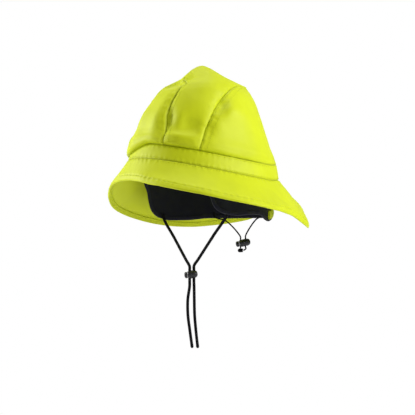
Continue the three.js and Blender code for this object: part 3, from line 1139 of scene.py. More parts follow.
@dataclass
class Stitching:
    """Rows of stitches that lie on the cloth."""

    name: str
    kind: StitchKind
    thread: bpy.types.Material
    slot: str
    rows: list[Array] = field(default_factory=list)

    def add(self, points: Array) -> None:
        """Adds a row along points in millimetres."""
        self.rows.append(points)

    def tree(self) -> bpy.types.GeometryNodeTree:
        """Lays one small stitch at even steps along each row.

        Returns:
            The node tree.
        """
        tree = bpy.data.node_groups.new(f"{self.name}_tree", "GeometryNodeTree")
        for label, sort in (("Rows", "Geometry"), ("Stitch length", "Float"), ("Spacing", "Float"),
                            ("Half thickness", "Float"), ("Thread", "Material")):
            tree.interface.new_socket(label, in_out="INPUT", socket_type=f"NodeSocket{sort}")
        tree.interface.new_socket("Stitches", in_out="OUTPUT", socket_type="NodeSocketGeometry")
        g = Graph(tree)
        rows = g.node("NodeGroupInput", {}, {}, "Rows")
        thick = rows.output("Half thickness")
        curve = g.node("GeometryNodeMeshToCurve", {}, {0: rows})
        even = g.node("GeometryNodeResampleCurve", {"mode": "LENGTH"},
                      {"Curve": curve, "Length": rows.output("Spacing")})
        bead = g.node("GeometryNodeMeshUVSphere", {}, {"Segments": 6, "Rings": 5, "Radius": 1.0})
        size = g.node("ShaderNodeCombineXYZ", {},
                      {0: rows.output("Stitch length") * 0.5, 1: thick, 2: thick})
        shaped = g.node("GeometryNodeTransform", {}, {"Geometry": bead, "Scale": size})
        turn = g.node("FunctionNodeAlignRotationToVector", {"axis": "X"},
                      {"Vector": g.node("GeometryNodeInputTangent", {}, {})})
        laid = g.node("GeometryNodeInstanceOnPoints", {},
                      {"Points": even, "Instance": shaped, "Rotation": turn})
        real = g.node("GeometryNodeRealizeInstances", {}, {"Geometry": laid})
        dyed = g.node("GeometryNodeSetMaterial", {},
                      {"Geometry": real, "Material": rows.output("Thread")})
        smooth = g.node("GeometryNodeSetShadeSmooth", {}, {"Geometry": dyed})
        g.node("NodeGroupOutput", {}, {0: smooth})
        return tree

    def build(self) -> bpy.types.Object:
        """Makes every row's stitches as one plain mesh and places it.

        Returns:
            The stitches.
        """
        verts: list[Any] = []
        edges: list[tuple[int, int]] = []
        for row in self.rows:
            start = len(verts)
            verts += (row * MM).tolist()
            edges += [(start + i, start + i + 1) for i in range(len(row) - 1)]
        guide = bpy.data.meshes.new(f"{self.name}_rows")
        guide.from_pydata(verts, edges, [])
        obj = bpy.data.objects.new(self.name, guide)
        bpy.context.scene.collection.objects.link(obj)
        modifier = obj.modifiers.new("stitches", "NODES")
        modifier.node_group = self.tree()
        length, spacing, thick = self.kind.value
        values = {"Stitch length": length * MM, "Spacing": spacing * MM,
                  "Half thickness": thick * MM, "Thread": self.thread}
        for item in modifier.node_group.interface.items_tree:
            if item.name in values:
                modifier[item.identifier] = values[item.name]
        mesh = evaluated_mesh(obj)
        obj.modifiers.remove(modifier)
        obj.data = mesh
        return place(obj, slot=self.slot)


# ---------------------------------------------------------------------------
# crown
# ---------------------------------------------------------------------------
@dataclass(frozen=True)
class Bulge:
    """Cloth pushed out beside both seams of a panel.

    It stands out by `height` at `up`, fades over `tall` up and down, starts
    `clear` of the seam and ends about `reach` away from it.
    """

    height: float = 0.0
    up: float = 0.46
    tall: float = 0.13
    clear: float = 8.5
    reach: float = 36.0

    def at(self, up: Array, across: Array) -> Array:
        """Height of the bulge.

        Args:
            up: share of the crown's height.
            across: distance from the seam, in millimetres.

        Returns:
            The height, in millimetres.
        """
        beside = (1 - bell(across, self.clear)) * bell(across, self.reach)
        return self.height * bell(up - self.up, self.tall) * beside


@dataclass
class CrownPanel:
    """One panel of the crown, from one seam to the next.

    Puff, lap and the widths are in millimetres. `side` is 1 or -1 for a panel
    that stays on one side of the ridge.
    """

    name: str
    start: Callable[[Array], Array]
    stop: Callable[[Array], Array]
    rows: int
    cols: int
    top: float
    puff: float
    side: int = 0
    seed: float = 1.0
    folds: tuple[Dent, ...] = ()
    lap: float = 0.0
    bulge: Bulge = Bulge()
    kept_clear: float = 0.06
    sunk: float = 0.9
    foot_sunk: float = 1.0
    lap_start: float = 1.1
    lap_end: float = 4.2
    seam_width: float = 0.8
    pucker: Pucker = Pucker(0.3, 9.0, 0.55, 2.6, 9.0)
    slack: Slack = Slack(((0.8, 34.0, 0.0), (0.3, 15.0, 3.0)))

    def span(self, form: HatForm, up: Array) -> tuple[Array, Array, Array]:
        """The panel's reach from seam to seam.

        Args:
            form: the hat's form.
            up: share of the crown's height.

        Returns:
            The angles of the two seams, and the width between them in millimetres.
        """
        a, b = self.start(up), self.stop(up)
        near_stop = form.crown(up, (a + b) / 2 + (b - a) * 0.49)
        half = np.linalg.norm(near_stop - form.crown(up, (a + b) / 2), axis=-1)
        return a, b, 2 * half + 0.001

    def folded(self, across: Array) -> Array:
        """Seam allowance that lies under the topstitching, with the dip that ends it.

        Args:
            across: distance from the seam, in millimetres.

        Returns:
            The height, as a share of the lap's own.
        """
        rise = 1 + np.exp((self.lap_start - across) * 5)
        fall = 1 + np.exp((across - self.lap_end) * 3.2)
        return 1 / rise / fall - 0.25 * bell(across - self.lap_end - 0.7, 0.9)

    def surface(self, form: HatForm, up: Array,
                u: Array) -> tuple[Array, Array, Array, Array, Array]:
        """Dressed outer face of the panel.

        Args:
            form: the hat's form.
            up: share of the crown's height.
            u: share of the way from the start seam to the stop seam.

        Returns:
            Points and outward directions in the worn frame, seam closeness that
            weights the painted seam shade, and the two flat coordinates in millimetres.
        """
        a, b, width = self.span(form, up)
        inset = np.clip(self.kept_clear * (b - a) / width, 0, (b - a) * 0.3)
        angle = a + inset + (b - a - 2 * inset) * u
        p = form.crown(up, angle)
        n = form.crown_normal(up, angle)
        if self.side:
            p[..., 0] = self.side * np.maximum(p[..., 0] * self.side, self.kept_clear)
        plain = form.worn(p)
        across = np.minimum(u, 1 - u) * width
        height = up * form.crown_height
        edge = np.minimum(across, height + 0.3)
        slim = ramp(width, 24)
        fade = np.clip((1 - up) * 12, 0.15, 1)
        swell = self.puff * (1 - np.exp(-across / (2 * self.puff))) * np.clip((1 - up) * 3.2, 0, 1)
        swell = swell * np.clip(up * 12, 0, 1) * ramp(width, 30) + self.bulge.at(up, across)
        sink = fade * (0.2 + 0.4 * slim) * bell(across, self.sunk)
        sink = sink + 0.5 * bell(height, self.foot_sunk)
        lap = self.lap * slim * self.folded(across)
        pulls = self.pucker.at(edge, height, plain, self.seed) * ramp(edge, 1.5)
        drift = self.slack.at(plain, self.seed) * ramp(edge, 10)
        dents = form.hollow(form.dents + self.folds, up, angle)
        hang, push = form.overhang(up, angle)
        p = p + n * (swell - dents - sink + lap + pulls + drift + push)[..., None]
        p[..., 2] -= hang
        # Painted shade along both seams and at the crown's foot against the band.
        seam = 0.4 * fade * bell(across, self.seam_width) + 0.6 * bell(height, self.seam_width)
        return form.worn(p), form.worn(n), seam, (u - 0.5) * width, height * 1.05

    def build(self, form: HatForm, cloth: bpy.types.Material) -> bpy.types.Object:
        """Makes and places the panel.

        Args:
            form: the hat's form.
            cloth: the panel's material.

        Returns:
            The panel.
        """
        up = self.top * (1 - (1 - np.linspace(0, 1, self.rows)) ** 1.5)
        u = 0.65 * eased(self.cols) + 0.35 * np.linspace(0, 1, self.cols)
        outer, normal, seam, x, y = self.surface(form, *np.broadcast_arrays(up[:, None], u))
        inner = outer - normal * form.cloth
        uv = np.stack([x, y], -1) * MM
        obj = wrapped_shell(f"{self.name}_cloth", outer, inner, False, cloth, uv, seam)
        return place(obj, slot="shell_cloth", replaces=[self.name])


@dataclass
class Crown:
    """The four panels and the topstitching along their seams."""

    form: HatForm
    cloth: bpy.types.Material
    thread: bpy.types.Material
    stitch_rows: tuple[float, float] = (2.4, 7.4)

    def panels(self) -> list[CrownPanel]:
        """Front wedge, two side panels that meet on the ridge, back cone.

        Returns:
            The four panels.
        """
        s1, s2 = self.form.front_seam.at, self.form.back_seam.at
        front = (Dent(0.30, 13, 0.22, 7.5, -2.8), Dent(0.62, 17, 0.20, 8, -1.6))
        side = (
            Dent(0.33, 25.0, 0.11, 3.0, 1.6), Dent(0.26, 46, 0.14, 9, 2.2),
            Dent(0.31, 36, 0.10, 4, -0.9), Dent(0.115, 38, 0.045, 16, -2.2),
            Dent(0.62, 62, 0.14, 5, -1.3), Dent(0.20, 55, 0.10, 3, -0.8))
        back = (Dent(0.24, 60, 0.08, 4, 1.5), Dent(0.10, 90, 0.05, 30, -0.8))
        return [
            CrownPanel("crown_front_panel", lambda k: -s1(k), s1, 110, 60, 0.998, 3.6,
                       seed=1.0, folds=front, lap=0.4),
            CrownPanel("crown_left_panel", s1, s2, 130, 84, 1.0, 2.8, side=1, seed=2.0, folds=side),
            CrownPanel("crown_right_panel", lambda k: 360 - s2(k), lambda k: 360 - s1(k),
                       130, 84, 1.0, 4.4, side=-1, seed=3.0, folds=side),
            CrownPanel("crown_back_panel", s2, lambda k: 360 - s2(k), 130, 220, 0.998, 1.2,
                       seed=4.0, folds=back, lap=0.2, bulge=Bulge(7.6)),
        ]

    def row(self, panel: CrownPanel, near_start: bool, distance: float, top: float) -> Array:
        """A stitch row beside one of a panel's seams.

        Args:
            panel: the panel that it lies on.
            near_start: True beside the panel's start seam.
            distance: distance from the seam, in millimetres.
            top: share of the crown's height where it ends.

        Returns:
            The row's points, in millimetres.
        """
        up = np.linspace(0.02, top, 160)
        width = panel.span(self.form, up)[2]
        u = np.clip(distance / width, 0, 0.5)
        keep = distance / width < 0.42
        out, normal, *_ = panel.surface(self.form, up, u if near_start else 1 - u)
        return (out + normal * THREAD_LIFT)[keep]

    def build(self) -> None:
        """Makes the panels and their stitches."""
        left, right, back = "crown_left_panel", "crown_right_panel", "crown_back_panel"
        panels = {p.name: p for p in self.panels()}
        for panel in panels.values():
            panel.build(self.form, self.cloth)
        rows = Stitching("crown_topstitching", StitchKind.TOPSTITCH, self.thread, "shell_cloth")
        seams = (
            (left, True, 0.985), (right, False, 0.985), (back, True, 0.975), (back, False, 0.975))
        for distance in self.stitch_rows:
            for name, near_start, top in seams:
                rows.add(self.row(panels[name], near_start, distance, top))
        rows.build()


# ---------------------------------------------------------------------------
# head band and brim
# ---------------------------------------------------------------------------
@dataclass
class HeadBand:
    """The plain band between crown and brim; its inner edges are tucked behind both."""

    form: HatForm
    cloth: bpy.types.Material
    thread: bpy.types.Material
    cols: int = 560
    rows: int = 30
    tuck: float = 1.5
    lining: float = 0.2
    stitch_rows: tuple[float, float] = (0.10, 0.88)
    pucker: Pucker = Pucker(0.25, 5.0, 1.35, 2.5, 14.0, 5.0)
    slack: Slack = Slack(((0.7, 30.0, 5.0),))

    def surface(self, share: Array, angle: Array) -> tuple[Array, Array]:
        """Dressed outer face of the band.

        Args:
            share: share of the band's height.
            angle: angle from the front.

        Returns:
            Points in the worn frame, and their seam closeness, which paints shade along both edges.
        """
        form = self.form
        edge = np.minimum(share, 1 - share) * form.band_height
        base = form.worn(form.band(share, angle))
        pulls = self.pucker.at(edge, angle, base) * ramp(edge, 1.2)
        inward = 0.55 * bell(edge, 1.0) - pulls - self.slack.at(base) * ramp(edge, 5)
        # Painted shade along the band's top and bottom edges.
        return form.worn(form.band(share, angle, inward)), 0.55 * bell(edge, 0.8)

    def build(self) -> None:
        """Makes and places the band and its two rows of stitches."""
        form = self.form
        angle = np.linspace(0, 360, self.cols, endpoint=False)
        share, angle = np.broadcast_arrays(eased(self.rows)[:, None], angle)
        outer, seam = self.surface(share, angle)
        tuck = self.tuck / form.band_height
        behind = np.select([share == 0, share == 1], [share - tuck, share + tuck], share)
        inner = form.worn(form.band(behind, angle, form.cloth + self.lining))
        around = np.radians(angle) * (form.band_half_length + form.band_half_width) / 2
        uv = np.stack([around, share * form.band_height], -1) * MM
        obj = wrapped_shell("head_band_cloth", outer, inner, True, self.cloth, uv, seam)
        place(obj, slot="shell_cloth", replaces=["head_band"])
        rows = Stitching("band_topstitching", StitchKind.TOPSTITCH, self.thread, "shell_cloth")
        ring = np.linspace(0, 360, 721)
        for share_at in self.stitch_rows:
            points, _ = self.surface(np.full_like(ring, share_at), ring)
            rows.add(points + unit(points * np.array([1, 1, 0])) * THREAD_LIFT)
        rows.build()


@dataclass
class Brim:
    """Sloping brim with a turned hem."""

    form: HatForm
    cloth: bpy.types.Material
    thread: bpy.types.Material
    cols: int = 620
    hem: float = 7.6
    hem_gap: float = 2.0
    hem_wall: float = 1.1
    edge_radius: float = 1.4
    band_row: float = 2.6
    girth_radius: float = 110.0
    band_pucker: Pucker = Pucker(0.35, 6.0, 1.2, 2.5, 15.0, 6.0)
    hem_pucker: Pucker = Pucker(0.3, 4.0, 1.7, 3.0, 12.0, 8.0)
    slack: Slack = Slack(((1.6, 46.0, 7.0), (0.5, 18.0, 9.0)))

    def lift(self, out: Array, angle: Array) -> Array:
        """How far the cloth stands off the plain brim.

        Args:
            out: share of the way out.
            angle: angle from the front.

        Returns:
            The height, in millimetres.
        """
        base = self.form.worn(self.form.brim(out, angle))
        slant = self.slant(angle)
        from_hem, from_band = (1 - out) * slant - self.hem, out * slant
        sink = 0.5 * bell(from_band, 1.0) + 0.6 * bell(from_hem, 0.8)
        pulls = self.band_pucker.at(from_band, angle, base)
        pulls = pulls + self.hem_pucker.at(from_hem, angle, base)
        return -sink + pulls * ramp(from_band, 1.5) + self.slack.at(base) * ramp(from_band, 14)

    def slant(self, angle: Array) -> Array:
        """Length of the brim's slope at an angle."""
        return self.form.brim_slope(angle)[2]

    def wall(self, from_edge: Array) -> Array:
        """Thickness of the cloth: doubled in the hem, rounded at the edge.

        Args:
            from_edge: distance from the edge, in millimetres.

        Returns:
            The thickness, in millimetres.
        """
        doubled = self.form.cloth + self.hem_wall / (1 + np.exp((from_edge - self.hem) * 3.0))
        rounded = 1 - (1 - ramp(from_edge, self.edge_radius)) ** 2
        return doubled * np.sqrt(np.clip(rounded, 0.02, 1))

    def build(self) -> None:
        """Makes and places the brim and its stitches."""
        form = self.form
        stretches = ((0, 0.08, 7), (0.08, 0.8, 30), (0.8, 0.975, 22), (0.975, 1.0, 7))
        out = np.concatenate([np.linspace(a, b, n)[:-1] for a, b, n in stretches] + [[1.0]])
        angle = np.linspace(0, 360, self.cols, endpoint=False)
        out, angle = np.broadcast_arrays(out[:, None], angle)
        lift, slant = self.lift(out, angle), self.slant(angle)
        from_edge = (1 - out) * slant
        wall = self.wall(from_edge)
        middle = (form.cloth - wall) / 2
        outer = form.worn(form.brim(out, angle, middle - lift))
        inner = form.worn(form.brim(out, angle, middle - lift + wall))
        uv = np.stack([np.radians(angle) * self.girth_radius, out * slant], -1) * MM
        # Painted shade where the brim meets the band and along the hem line.
        seam = 0.5 * bell(out * slant, 0.8) + 0.3 * bell(from_edge - self.hem, 0.6)
        obj = wrapped_shell("brim_cloth", outer, inner, True, self.cloth, uv, seam)
        place(obj, slot="shell_cloth", replaces=["brim"])
        self.build_stitches()

    def build_stitches(self) -> None:
        """One row beside the band and two in the hem, above and below."""
        form = self.form
        ring = np.linspace(0, 360, 901)
        slope = self.slant(ring)
        second = self.hem - self.hem_gap
        shares = (self.band_row / slope, 1 - self.hem / slope, 1 - second / slope)
        rows = Stitching("brim_topstitching", StitchKind.HEM, self.thread, "shell_cloth")
        for below in (False, True):
            for share, under in zip(shares, (0.15, 0.57, 0.57)):
                depth = form.cloth + under if below else -THREAD_LIFT
                rows.add(form.worn(form.brim(share, ring, depth - self.lift(share, ring))))
        rows.build()


# ---------------------------------------------------------------------------
# flap
# ---------------------------------------------------------------------------
@dataclass
class EarNeckFlap:
    """Fleece flap from ear to ear round the back, with a bound edge and a drawcord tunnel."""

    form: HatForm
    fleece: bpy.types.Material
    binding: bpy.types.Material
    shell: bpy.types.Material
    thread: bpy.types.Material
    cols: int = 300
    rows: int = 56
    girth_radius: float = 90.0
    cut_drop: float = 60.0
    tape: float = 0.55
    tape_width: float = 4.2
    tape_row: float = 3.5
    tunnel_hem: float = 0.97
    tunnel_ends: tuple[float, float] = (128.0, 232.0)
    gathers: int = 46
    slack: Slack = Slack(((1.3, 30.0, 11.0), (0.4, 11.0, 12.0)))

    def lift(self, down: Array, angle: Array) -> Array:
        """Soft unevenness of the fleece, in millimetres."""
        return self.slack.at(self.form.flap(down, angle)) * np.clip(np.asarray(down) * 3, 0, 1)

    def build(self) -> None:
        """Makes the flap, its binding, the tunnel and their stitches."""
        form = self.form
        down = np.linspace(0, 1, self.rows)[:, None]
        start = form.flap_front.at(down)
        angle = start + (360 - 2 * start) * np.linspace(0, 1, self.cols)
        down, angle = np.broadcast_arrays(down, angle)
        lift, half = self.lift(down, angle), form.cloth / 2
        outer, inner = form.flap(down, angle, lift + half), form.flap(down, angle, lift - half)
        uv = np.stack([np.radians(angle) * self.girth_radius, down * self.cut_drop], -1) * MM
        obj = wrapped_shell(
            "ear_neck_flap_fleece", outer, inner, False, self.fleece, uv, np.zeros(down.shape))
        place(obj, slot="flap_cloth", replaces=["ear_neck_flap"])
        self.build_binding()
        self.build_tunnel()

    def edge_path(self) -> tuple[Array, Array]:
        """The flap's free edge, from one front edge to the other.

        Returns:
            The share down and the angle of each point.
        """
        side, hem = np.linspace(0.02, 1, 60), 260
        front = self.form.flap_front.at(side)
        along = np.linspace(front[-1], 360 - front[-1], hem + 2)[1:-1]
        return (np.concatenate([side, np.ones(hem), side[::-1]]),
                np.concatenate([front, along, 360 - front[::-1]]))

    def build_binding(self) -> None:
        """A folded tape round the free edge, with a stitch row on both sides."""
        form, tape, width = self.form, self.tape, self.tape_width
        down, angle = self.edge_path()
        middle = form.flap(down, angle, self.lift(down, angle))
        along = unit(np.gradient(middle, axis=0))
        face = unit(middle * np.array([1, 1, 0]))
        face = unit(face - along * (face * along).sum(-1, keepdims=True))
        inward = np.cross(along, face)
        nearer = np.where(angle < 180, angle + 4, angle - 4)
        interior = form.flap(np.clip(down - 0.1, 0, 1), nearer)
        inward = inward * np.sign((inward * (interior - middle)).sum(-1, keepdims=True))
        half = form.cloth / 2
        leg = [(-0.45, half * 0.6), (0.2, half + tape), (width, half + tape),
               (width + 0.4, half + 0.1), (width, half + 0.05), (0.3, half + 0.05)]
        section = [(-0.6, 0.0), *leg, (0.15, 0.0), *((a, -b) for a, b in reversed(leg))]
        grid = np.stack([middle + inward * a + face * b for a, b in section], 1)
        n, m = grid.shape[:2]
        faces = grid_faces(n, m, False, True) + end_caps(n, m)
        run = np.repeat(length_along(middle), m)
        uv = np.stack([run, np.tile([s[0] for s in section], n)], -1) * MM
        obj = object_of("flap_binding", grid.reshape(-1, 3), faces, self.binding, uv,
                        np.zeros(n * m), 45.0)
        place(obj, slot="flap_cloth")
        rows = Stitching("flap_stitching", StitchKind.TOPSTITCH, self.thread, "flap_cloth")
        for side in (1, -1):
            rows.add((middle + inward * self.tape_row + face * side * (half + tape + 0.05))[4:-4])
        rows.build()

    def build_tunnel(self) -> None:
        """The yellow strip that holds the nape drawcord, gathered by it."""
        form = self.form
        high = self.tunnel_hem - form.tunnel_height / form.flap_drop
        share = np.linspace(0, 1, 22)[:, None]
        share, angle = np.broadcast_arrays(share, np.linspace(*self.tunnel_ends, 260))
        down = high + (self.tunnel_hem - high) * share
        edge = np.minimum(share, 1 - share)
        base = form.cloth / 2 + form.seam_gap + self.lift(down, angle)
        round_cord = np.sin(np.pi * share)
        swell = 1.4 + round_cord**0.7 + 0.5 * np.sin(np.radians(angle * self.gathers)) * round_cord
        swell = swell * np.clip(edge * 14 + 0.35, 0, 1)
        outer, inner = form.flap(down, angle, base + swell), form.flap(down, angle, base)
        uv = np.stack([angle * 1.6, share * form.tunnel_height], -1) * MM
        # Painted shade: the whole tunnel a little darker, and more along both stitched edges.
        seam = 0.3 + 0.6 * bell(edge * form.tunnel_height, 0.9)
        obj = wrapped_shell("drawcord_tunnel_cloth", outer, inner, False, self.shell, uv, seam)
        place(obj, slot="tunnel_cloth", replaces=["drawcord_tunnel"])


# ---------------------------------------------------------------------------
# cord locks and cords
# ---------------------------------------------------------------------------
@dataclass
class CordLock:
    """Spring cord lock lying across its cords.

    The two bores are given by their distance from the centre along the lock.
    The mouth, end and cap give the turned shape as pairs: a share of the
    radius, and the distance from the barrel's mouth, the barrel's far end or
    the button's outer end.
    """

    name: str
    centre: tuple[float, float, float]
    length: float
    diameter: float
    bores: tuple[float, float]
    bore: float
    plastic: bpy.types.Material
    heading: float = 55.0
    tilt: float = 8.0
    button_share: float = 0.24
    button_gap: float = 0.3
    sides: int = 40
    mouth: tuple[tuple[float, float], ...] = (
        (0.66, 0.0), (0.76, 0.3), (0.86, 1.0), (0.93, 2.0), (0.96, 3.4))
    end: tuple[tuple[float, float], ...] = (
        (0.97, 6.5), (0.96, 5.0), (0.92, 3.7), (0.84, 2.5), (0.72, 1.5), (0.55, 0.7), (0.30, 0.15))
    cap: tuple[tuple[float, float], ...] = ((0.26, 0.05), (0.50, 0.4), (0.66, 1.0), (0.74, 1.8))

    def axis(self) -> Vector:
        """Direction from the button to the barrel's far end."""
        h = math.radians(self.heading)
        return Vector((math.cos(h), math.sin(h), math.tan(math.radians(self.tilt)))).normalized()

    def bore_point(self, which: int) -> Array:
        """Middle of one of the two bores."""
        return np.array(self.centre) + np.array(self.axis()) * self.bores[which]

    def turned(self, name: str, profile: Sequence[tuple[float, float]]) -> bpy.types.Object:
        """Turns a solid and lays it along the lock.

        Args:
            name: the object's name.
            profile: radius and distance along the lock from its centre.

        Returns:
            The object.
        """
        obj = lathe(name, profile, self.sides, self.plastic)
        turn = Vector((0, 0, 1)).rotation_difference(self.axis()).to_matrix().to_4x4()
        turn.translation = Vector(self.centre) * MM
        obj.data.transform(turn)
        obj.data.update()
        return obj

    def drill(self, barrel: bpy.types.Object, which: int) -> None:
        """Cuts one of the two bores through the barrel.

        Args:
            barrel: the barrel.
            which: number of the bore.
        """
        r, reach = self.bore / 2, self.diameter
        profile = [(0, -reach), (r, -reach), (r, reach), (0, reach)]
        drill = lathe(f"{self.name}_drill_{which}", profile, 28, self.plastic)
        at = Vector(self.bore_point(which) * MM)
        for v in drill.data.vertices:
            v.co += at
        cut = barrel.modifiers.new("bore", "BOOLEAN")
        cut.operation, cut.solver, cut.object = "DIFFERENCE", "EXACT", drill
        mesh = evaluated_mesh(barrel)
        barrel.modifiers.remove(cut)
        barrel.data = mesh
        bpy.data.objects.remove(drill)

    def build(self) -> None:
        """Makes and places the barrel, drilled for both cord runs, and the button."""
        half, r = self.length / 2, self.diameter / 2
        start = self.length * self.button_share - half
        barrel = self.turned(f"{self.name}_barrel_moulded", [
            (0, start), *((r * share, start + x) for share, x in self.mouth),
            *((r * share, half - x) for share, x in self.end), (0, half)])
        for which in (0, 1):
            self.drill(barrel, which)
        barrel.data.shade_smooth()
        barrel.data.set_sharp_from_angle(angle=math.radians(35))
        place(barrel, slot="cord_lock", replaces=[f"{self.name}_barrel"])
        stop = start - self.button_gap
        button = self.turned(f"{self.name}_button_moulded", [
            (0, -half), *((r * share, x - half) for share, x in self.cap),
            (r * 0.75, (stop - half + 2.3) / 2), (r * 0.72, stop - 0.25), (r * 0.66, stop),
            (0, stop)])
        place(button, slot="cord_lock", replaces=[f"{self.name}_button"])


@dataclass(frozen=True)
class CordKind:
    """A sort of cord: diameter in millimetres, material, slot, and how its far end is kept."""

    diameter: float
    material: bpy.types.Material
    slot: str
    far_end: str


@dataclass
class Knot:
    """The knot that joins the two strands of the nape drawcord: a trefoil drawn tight."""

    size: float = 3.0
    loop: float = 1.85
    weave: float = 0.62
    height: float = 1.45
    strand: float = 1.35
    stretch: float = 1.05

    def build(self, centre: Array, material: bpy.types.Material) -> None:
        """Makes and places the knot.

        Args:
            centre: its middle, in millimetres.
            material: the strand's material.
        """
        t = np.linspace(0, 2 * math.pi, 120, endpoint=False)
        loop = (self.loop + self.weave * np.cos(3 * t)) * self.stretch
        path = centre + stack(
            loop * np.cos(2 * t), loop * np.sin(2 * t), self.height * np.sin(3 * t))
        radius = np.full(len(path), self.strand)
        obj = tube("nape_cord_knot_tied", path, radius, 12, material, closed=True)
        place(obj, slot="elastic", replaces=["nape_cord_knot"])


@dataclass
class Cords:
    """Chin cord, nape drawcord, their locks and the knot.

    The two tails give each free end's route: sideways and back from
    the lock's bore, and share of the way down to the end.
    """

    form: HatForm
    braid: bpy.types.Material
    elastic: bpy.types.Material
    plastic: bpy.types.Material
    chin_diameter: float = 4.0
    elastic_diameter: float = 2.0
    bore_play: float = 1.2
    chin_lock_drop: float = 134.0
    chin_tail: float = 99.0
    nape_lock_drop: float = 92.0
    knot_drop: float = 9.5
    tail_right: tuple[tuple[float, float, float], ...] = (
        (-0.4, 0.2, 0.16), (-1.2, -2.2, 0.34), (-1.5, -1.8, 0.55), (-1.3, 1.2, 0.76),
        (-1.0, 4.9, 1.0))
    tail_left: tuple[tuple[float, float, float], ...] = (
        (0.4, 0.0, 0.16), (0.7, 0.1, 0.34), (0.8, 0.6, 0.55), (0.9, 2.6, 0.76),
        (0.9, 5.7, 1.0))

    def flap_exit(self, angle: float, down: float, thick: float) -> list[Array]:
        """Where a cord leaves the flap's inner face.

        Args:
            angle: angle from the front.
            down: share of the way down the flap.
            thick: the cord's diameter.

        Returns:
            That point and the next one below it.
        """
        off = -(self.form.cloth + thick) / 2 - self.form.seam_gap - 0.6
        return [self.form.flap(down, angle, off), self.form.flap(down + 0.1, angle, off - 0.3)]

    def through(self, lock: CordLock, bore: int, steps: Sequence[float]) -> list[Array]:
        """Points on a bore's line, by their height in diameters of the lock."""
        return [lock.bore_point(bore) + np.array([0, 0, lock.diameter * k]) for k in steps]

    def chin_run(self, angle: float, lock: CordLock, bore: int,
                 tail: Sequence[Sequence[float]]) -> list[Array]:
        """Route of one half of the chin cord, from the flap to its free end.

        Args:
            angle: where it leaves the flap.
            lock: the chin lock.
            bore: the bore that it runs through.
            tail: route of the free end.

        Returns:
            The route's points.
        """
        p, q = self.flap_exit(angle, 0.9, self.chin_diameter)
        x, y, _ = lock.bore_point(bore)
        straight = self.through(lock, bore, (0.95, 0.62, -0.62, -0.9))
        way = straight[0] - q
        down = [np.array([x + dx, y + dy, -self.chin_lock_drop - self.chin_tail * share])
                for dx, dy, share in tail]
        return [p, q, q + way * 0.4, q + way * 0.86, *straight, *down]

    def nape_run(self, angle: float, down: float, lock: CordLock, bore: int,
                 ending: list[Array]) -> list[Array]:
        """Route of one half of the nape drawcord, from the flap to the knot.

        Args:
            angle: where it leaves the flap.
            down: share of the way down the flap there.
            lock: the nape lock.
            bore: the bore that it runs through.
            ending: the route from the lock to the knot.

        Returns:
            The route's points.
        """
        p, q = self.flap_exit(angle, down, self.elastic_diameter)
        straight = self.through(lock, bore, (0.85, 0.62, -0.62))
        sag = q + (straight[0] - q) * np.array([0.5, 0.5, 0.27])
        return [p, q, sag, *straight, *ending]

    def lay(self, name: str, node: str, route: list[Array], kind: CordKind) -> None:
        """Makes and places one run of cord.

        Args:
            name: the object's name.
            node: the CAD node that it stands for.
            route: points of its route, in millimetres.
            kind: the sort of cord; a bare end is sealed and a little thicker.
        """
        path = smooth_path(route, kind.diameter * 0.45)
        radius = np.full(len(path), kind.diameter / 2)
        if kind.far_end == "bare":
            tip, sealed = np.linalg.norm(path - path[-1], axis=1), 0.9
            rounded = kind.diameter / 2 * (0.62 + 0.5 * tip / sealed)
            radius = np.where(tip < sealed, rounded, radius * (1 + 0.12 * bell(tip, 4.0)))
        obj = tube(name, path, radius, 16, kind.material)
        place(obj, slot=kind.slot, replaces=[node])
        kind.diameter * MM

    def build(self) -> None:
        """Makes both locks, the four runs of cord and the knot."""
        chin_bore = self.chin_diameter + self.bore_play
        nape_bore = self.elastic_diameter + self.bore_play
        pitch, middle = chin_bore / 2 + self.form.seam_gap, 1.1
        chin = CordLock("chin_lock", (-1.3, -18.9, -self.chin_lock_drop), 18.0, 11.4,
                        (middle - pitch, middle + pitch), chin_bore, self.plastic)
        nape = CordLock("nape_lock", (-0.8, 67.9, -self.nape_lock_drop), 20.5, 10.4,
                        (-3.6, 3.4), nape_bore, self.plastic, tilt=12.0)
        chin.build()
        nape.build()
        braid = CordKind(self.chin_diameter, self.braid, "cord", "bare")
        elastic = CordKind(self.elastic_diameter, self.elastic, "elastic", "knot")
        self.lay("chin_cord_left_braid", "chin_cord_left",
                 self.chin_run(82, chin, 1, self.tail_left), braid)
        self.lay("chin_cord_right_braid", "chin_cord_right",
                 self.chin_run(278, chin, 0, self.tail_right), braid)
        knot = Knot()
        right, left = nape.bore_point(0), nape.bore_point(1)
        tied = right - np.array([0, 0, self.knot_drop])
        reach = knot.size * 1.1 + 0.9
        around = [left + np.array([0.6, 0.4, -8.0]), left + np.array([-0.6, -1.6, -10.4]),
                  tied + np.array([reach * 0.57, reach * 0.82, 0.2])]
        above = [tied + np.array([0, 0, knot.size * 0.8 + 0.35])]
        self.lay("nape_cord_left_elastic", "nape_cord_left",
                 self.nape_run(130, 0.74, nape, 1, around), elastic)
        self.lay("nape_cord_right_elastic", "nape_cord_right",
                 self.nape_run(231.5, 0.86, nape, 0, above), elastic)
        knot.build(tied, self.elastic)


# ---------------------------------------------------------------------------
# studio
# ---------------------------------------------------------------------------
@dataclass(frozen=True)
class Softbox:
    """A rectangular light: place, target, size in metres, power in watts."""

    name: str
    place: tuple[float, float, float]
    target: tuple[float, float, float]
    size: tuple[float, float]
    power: float


